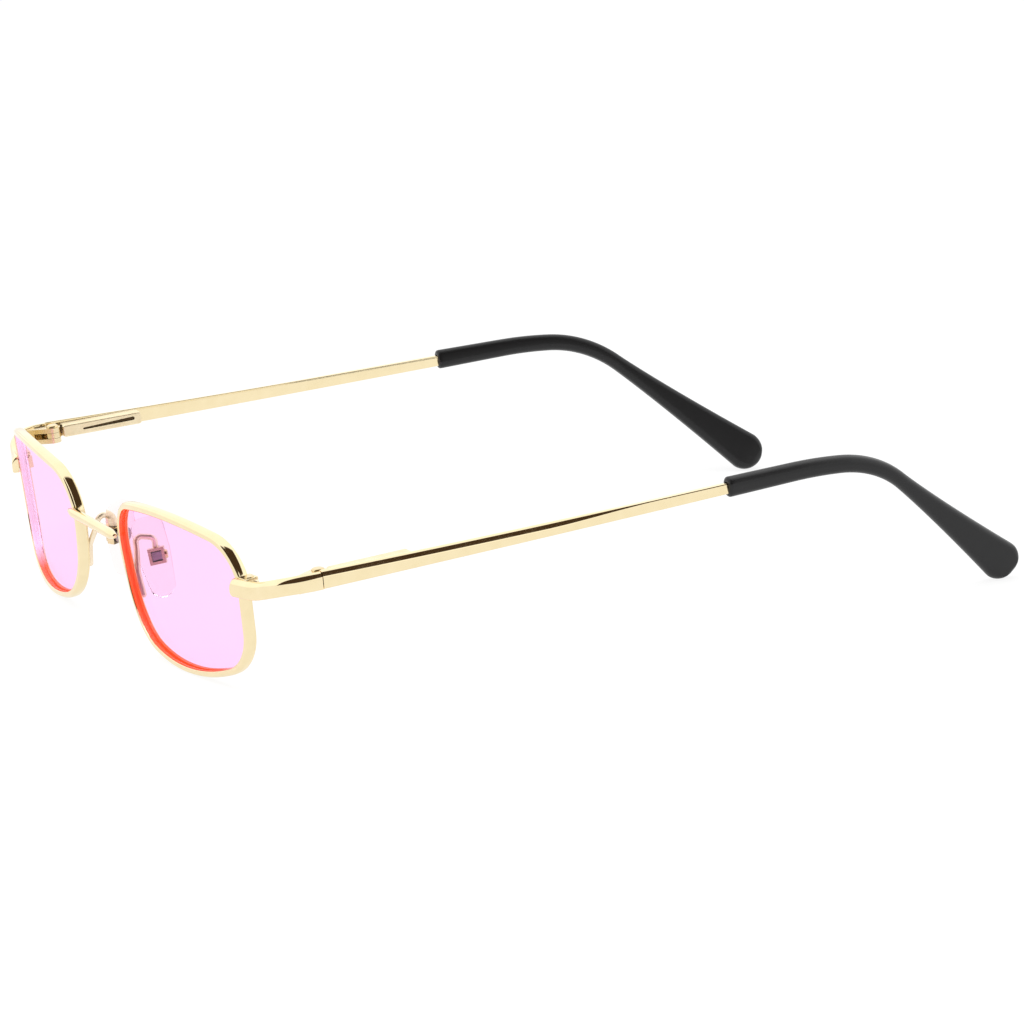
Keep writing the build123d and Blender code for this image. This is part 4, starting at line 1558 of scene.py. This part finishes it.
@dataclass(frozen=True)
class HingeSpring:
    """The coil round the slider's rod."""

    hinge: HingeFrame
    start: float = 5.59
    pitch: float = 0.78
    turns: int = 10
    radius: float = 0.71
    wire: float = 0.15
    bore_axis: float = 0.62
    travel: float = 1.24

    def foot(self) -> np.ndarray:
        """The middle of the coil's first turn."""
        outward, backward, _ = self.hinge.axes()
        return self.hinge.base() + outward * self.bore_axis + backward * self.start

    def make(self, side: Side, palette: Palette) -> bpy.types.Object:
        """Carry a circle along a helix, whose angle grows with the way along the rod.

        Args:
            side: The spring's side.
            palette: The finishes.

        Returns:
            The spring.
        """
        outward, backward, up = self.hinge.axes()
        angle = np.linspace(0, 2 * pi * self.turns, 24 * self.turns + 1)[:, None]
        radial = outward * np.cos(angle) + up * np.sin(angle)
        rise = self.pitch / (2 * pi)
        way = self.radius * (up * np.cos(angle) - outward * np.sin(angle)) + backward * rise
        line = self.foot() + radial * self.radius + backward * rise * angle
        rings = tube(line, radial, np.cross(unit(way), radial), self.wire, 10)
        piece = build(f"{side.word}_coil_spring", rings, side, [palette.steel])
        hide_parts(f"{side.word}_hinge_spring")
        return piece

    def shorten(self, piece: bpy.types.Object, side: Side) -> None:
        """Work out where the coil's first turn sits, and give the seated coil a mesh of its own.

        Args:
            piece: The coil, seated on the temple.
            side: The coil's side.
        """
        mirror = np.array([side.value, 1.0, 1.0])
        _, backward, _ = self.hinge.axes()
        anchor = STANDING.place(mirror * (self.foot() - backward * self.wire))
        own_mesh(piece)


@dataclass(frozen=True)
class ClosingLug:
    """The upper half of the rim's closing block, with the flat head of its screw."""

    shape: LensShape
    across: float = 22.99
    front: float = -3.385
    base: float = 5.62
    corners: tuple = (
        (-1.2, -0.85, 0.35),
        (1.2, -0.85, 0.35),
        (1.2, 0.85, 0.35),
        (-1.2, 0.85, 0.35),
    )
    thickness: float = 0.5
    ease: float = 0.12
    head: float = 0.8
    head_height: float = 0.16
    head_across: float = 0.4
    screw_length: float = 2.4

    def plate(self, circles: tuple, low: float, high: float) -> np.ndarray:
        """Rings over a plate between two heights in the lens's own axes.

        Args:
            circles: The circles whose hull is the plate's outline.
            low: Its lower face's height.
            high: Its upper face's height, whose edge is eased.

        Returns:
            Rings by points by 3.
        """
        points, ways = hull(circles, 64)
        turn = np.linspace(0, pi / 2, 5)
        inset = np.concatenate([[0.0], self.ease * (1 - np.cos(turn))])
        depth = np.concatenate([[low], high - self.ease * (1 - np.sin(turn))])
        flat = shell(points, ways, inset, depth, 4)
        flat = flat + np.array([self.across, self.front, 0.0])
        axes = np.array([self.shape.across, self.shape.front, self.shape.height])
        return flat @ axes + np.array(self.shape.origin)

    def make(self, side: Side, palette: Palette) -> list[bpy.types.Object]:
        """Make the lug and the screw's head, each a plate with eased edges.

        Args:
            side: The lug's side.
            palette: The finishes.

        Returns:
            The lug and the screw.
        """
        top = self.base + self.thickness
        rings = self.plate(self.corners, self.base, top)
        lug = build(f"{side.word}_closing_lug", rings, side, [palette.satin_gold])
        circle = ((self.head_across, 0.0, self.head),)
        rings = self.plate(circle, self.base - self.screw_length, top + self.head_height)
        screw = build(f"{side.word}_closing_head", rings, side, [palette.screw])
        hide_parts(f"{side.word}_closing_block_upper")
        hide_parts(f"{side.word}_closing_screw")
        return [lug, screw]


@dataclass(frozen=True)
class Fittings:
    """Small machined pieces that keep their CAD shape and get a finish each."""

    plan: tuple = (
        ("gold", ("closing_block_lower",)),
        ("satin_gold", ("hinge_knuckle", "hinge_slider", "pad_box")),
        ("screw", ("hinge_screw", "pad_screw", "slider_nut")),
        ("insert", ("pad_insert",)),
    )
    crease: float = 30.0
    merge: float = 0.0004

    def smoothing(self) -> bpy.types.NodeTree:
        """Modifier nodes that join a CAD mesh's triangles and shade its curves smooth.

        Returns:
            The node tree.
        """
        tree = bpy.data.node_groups.new("machined_shading", "GeometryNodeTree")
        for way in ("INPUT", "OUTPUT"):
            tree.interface.new_socket("Geometry", in_out=way, socket_type="NodeSocketGeometry")
        start = add_node(tree, "NodeGroupInput").outputs[0]
        inputs = {"Geometry": start, "Distance": self.merge * MM}
        joined = add_node(tree, "GeometryNodeMergeByDistance", inputs).outputs[0]
        inputs = {"Geometry": joined, "Shade Smooth": True}
        soft = add_node(tree, "GeometryNodeSetShadeSmooth", inputs, domain="FACE").outputs[0]
        angle = add_node(tree, "GeometryNodeInputMeshEdgeAngle").outputs[0]
        steep = worked(tree, "GREATER_THAN", angle, radians(self.crease))
        inputs = {"Geometry": soft, "Selection": steep, "Shade Smooth": False}
        hard = add_node(tree, "GeometryNodeSetShadeSmooth", inputs, domain="EDGE").outputs[0]
        add_node(tree, "NodeGroupOutput", {0: hard})
        return tree

    def dress(self, side: Side, palette: Palette, smoothing: bpy.types.NodeTree) -> int:
        """Give each CAD piece of one side its finish and smooth shading.

        Args:
            side: The side.
            palette: The finishes.
            smoothing: The modifier nodes.

        Returns:
            How many pieces were dressed.
        """
        count = 0
        for name, words in self.plan:
            material = getattr(palette, name)
            for word in words:
                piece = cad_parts[f"{side.word}_{word}"]
                if not piece.material_slots:
                    piece.data.materials.append(material)
                for slot in piece.material_slots:
                    slot.material = material
                piece.modifiers.new("machined_shading", "NODES").node_group = smoothing
                count += 1
        return count


# ------------------------------------------------------------------------ studio


@dataclass(frozen=True)
class Studio:
    """Pale floor, soft light and the camera at the photograph's angle."""

    azimuth: float = 66.61969
    elevation: float = 12.86406
    roll: float = -1.5
    distance: float = 1108.4097
    aside: float = -69.75686
    above: float = -20.81114
    focal_pixels: float = 6445.735
    fit_pitch: float = 4.65
    fit_up: float = 14.0626
    sensor: float = 36.0
    picture: float = 1024.0
    clip: tuple = (0.05, 50.0)
    floor_reach: float = 4.0
    floor_glow: float = 0.87
    floor_paint: str = "#EDEDED"
    floor_thin: float = 0.16
    room_light: float = 0.62
    room_dark: str = "#3E2F22"
    dark_fall: float = -0.26
    dark_ranges: tuple = ((0.08, 0.14), (0.13, 0.18), (0.51, 0.48))
    overhead_lift: float = 0.27
    overhead_range: tuple = (-0.02, 0.16)
    lamps: tuple = (
        ("overhead_softbox", (0.15, -0.1, 0.95), 0.9, 6.5),
        ("front_softbox", (-0.5, -0.8, 0.55), 0.6, 2.0),
    )

    def camera(self) -> bpy.types.Object:
        """The camera, from the fitted view of the photograph.

        The fit has the glasses tipped a little more than they stand here, so
        the camera is tipped back with them.

        Returns:
            The scene's camera.
        """
        az, el, roll = radians(self.azimuth), radians(self.elevation), radians(self.roll)
        level = np.array([cos(az), sin(az), 0.0])
        toward = np.array([sin(az) * cos(el), -cos(az) * cos(el), sin(el)])
        upright = np.cross(toward, level)
        right = cos(roll) * level + sin(roll) * upright
        up = -sin(roll) * level + cos(roll) * upright
        eye = self.distance * toward - self.aside * right - self.above * up
        undo = tipped(-self.fit_pitch)
        turn = STANDING.turn() @ undo
        eye = STANDING.place(undo @ (eye - np.array([0, 0, self.fit_up])))
        data = bpy.data.cameras.new("camera")
        data.sensor_width = data.sensor_height = self.sensor
        data.lens = self.focal_pixels * self.sensor / self.picture
        data.clip_start, data.clip_end = self.clip
        camera = stood("camera", data)
        camera.matrix_world = aimed([turn @ right, turn @ up, turn @ toward], eye)
        bpy.context.scene.camera = camera
        return camera

    def floor(self) -> bpy.types.Object:
        """A wide pale floor: white to the eye, with the object's faint shadow.

        Returns:
            The floor.
        """
        reach = self.floor_reach
        mesh = bpy.data.meshes.new("floor")
        corners = [(-reach, -reach, 0), (reach, -reach, 0), (reach, reach, 0), (-reach, reach, 0)]
        mesh.from_pydata(corners, [], [(0, 1, 2, 3)])
        floor = stood("floor", mesh)
        # Matt paint lights the pieces. The eye, gloss and clear pieces see a thin
        # coat of it over an even glow, so that the floor is nearly white there.
        material, tree = blank_material("pale_floor_paint")
        paint = add_node(tree, "ShaderNodeBsdfDiffuse", {"Color": linear(self.floor_paint)})
        coat = (self.floor_thin, self.floor_thin, self.floor_thin, 1.0)
        thin = add_node(tree, "ShaderNodeBsdfDiffuse", {"Color": coat})
        light = {"Color": (1, 1, 1, 1), "Strength": self.floor_glow}
        glow = add_node(tree, "ShaderNodeEmission", light)
        white = add_node(tree, "ShaderNodeAddShader", {0: thin.outputs[0], 1: glow.outputs[0]})
        inputs = {0: self.seen(tree), 1: paint.outputs[0], 2: white.outputs[0]}
        surface = add_node(tree, "ShaderNodeMixShader", inputs)
        add_node(tree, "ShaderNodeOutputMaterial", {"Surface": surface.outputs[0]})
        mesh.materials.append(material)
        return floor

    def seen(self, tree: bpy.types.NodeTree) -> bpy.types.NodeSocket:
        """Tell the rays that show something to the eye from those that only light it.

        Args:
            tree: The floor's or the world's node tree.

        Returns:
            1 for a ray from the camera, a gloss or a clear piece, else 0.
        """
        path = add_node(tree, "ShaderNodeLightPath").outputs
        some = worked(tree, "MAXIMUM", path["Is Camera Ray"], path["Is Glossy Ray"])
        return worked(tree, "MAXIMUM", some, path["Is Transmission Ray"])

    def world(self) -> None:
        """White surroundings, with the dark of the room on one side for gloss.

        Seen in gloss, the room is dark where its direction lies towards +X,
        above a plane that falls towards -Y and not far towards +Y; overhead
        it is a little brighter than white.
        """
        world = bpy.data.worlds.new("studio")
        world.use_nodes = True
        tree = world.node_tree
        tree.nodes.clear()
        place = add_node(tree, "ShaderNodeTexCoord").outputs["Generated"]
        x, y, z = add_node(tree, "ShaderNodeSeparateXYZ", {0: place}).outputs
        gloss = add_node(tree, "ShaderNodeLightPath").outputs["Is Glossy Ray"]
        fallen = worked(tree, "MULTIPLY_ADD", y, self.dark_fall, z)
        dark = gloss
        for source, (start, end) in zip((x, fallen, y), self.dark_ranges):
            dark = worked(tree, "MULTIPLY", dark, ramped(tree, source, start, end))
        above = ramped(tree, z, *self.overhead_range, 0.0, self.overhead_lift)
        lift = worked(tree, "MULTIPLY_ADD", above, gloss, 1.0)
        base = ramped(tree, self.seen(tree), low=self.room_light)
        inputs = {
            "Color": mixed(tree, dark, "#FFFFFF", self.room_dark),
            "Strength": worked(tree, "MULTIPLY", base, lift),
        }
        back = add_node(tree, "ShaderNodeBackground", inputs)
        add_node(tree, "ShaderNodeOutputWorld", {"Surface": back.outputs[0]})
        bpy.context.scene.world = world

    def lamp(self, name: str, spot: tuple, size: float, power: float) -> None:
        """A square soft lamp that looks at the glasses.

        Args:
            name: The lamp's name.
            spot: Where it hangs, in metres.
            size: Its side, in metres.
            power: Its power in watts.
        """
        data = bpy.data.lights.new(name, "AREA")
        data.size = size
        data.energy = power
        lamp = stood(name, data)
        lamp.visible_glossy = False
        back = unit(np.array(spot))
        side = unit(np.cross([0.0, 1.0, 0.0], back))
        lamp.matrix_world = aimed([side, np.cross(back, side), back], spot)

    def set_up(self) -> None:
        """Camera, floor, world and lamps."""
        self.camera()
        self.floor()
        self.world()
        for lamp in self.lamps:
            self.lamp(*lamp)
        bpy.context.scene.view_settings.view_transform = "Standard"


def seat(piece: bpy.types.Object, body: str) -> None:
    """Ride a piece on its body and report it.

    Args:
        piece: The finished piece.
        body: The CAD body that carries it.
    """
    word = piece.name.split("_", 1)[1] if piece.name != "bridge_bar" else piece.name
    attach(piece, body)
    LOG.info("%s rides on %s, %d faces", piece.name, body, len(piece.data.polygons))


def main() -> None:
    """Build the studio and every piece, in order, and report them."""
    logging.basicConfig(level=logging.INFO, format="%(name)s: %(message)s")
    palette = Palette()
    Studio().set_up()
    shape = LensShape()
    hinge = HingeFrame()
    seat(Bridge().make(palette), "front")
    fittings = Fittings()
    smoothing = fittings.smoothing()
    for side in Side:
        seat(Rim(shape).make(side, palette), "front")
        seat(Lens(shape).make(side, palette), "front")
        seat(EndPiece().make(side, palette), "front")
        seat(PadArm().make(side, palette), "front")
        seat(TempleBar(hinge).make(side, palette), f"{side.word}_temple")
        seat(TempleTip(hinge).make(side, palette), f"{side.word}_temple")
        seat(SpringHousing(hinge).make(side, palette), f"{side.word}_temple")
        spring = HingeSpring(hinge)
        coil = spring.make(side, palette)
        seat(coil, f"{side.word}_temple")
        spring.shorten(coil, side)
        seat(NosePad().make(side, palette), f"{side.word}_pad")
        for piece in ClosingLug(shape).make(side, palette):
            seat(piece, "front")
        LOG.info("%s: %d machined pieces", side.word, fittings.dress(side, palette, smoothing))


if __name__ == "__main__":
    main()
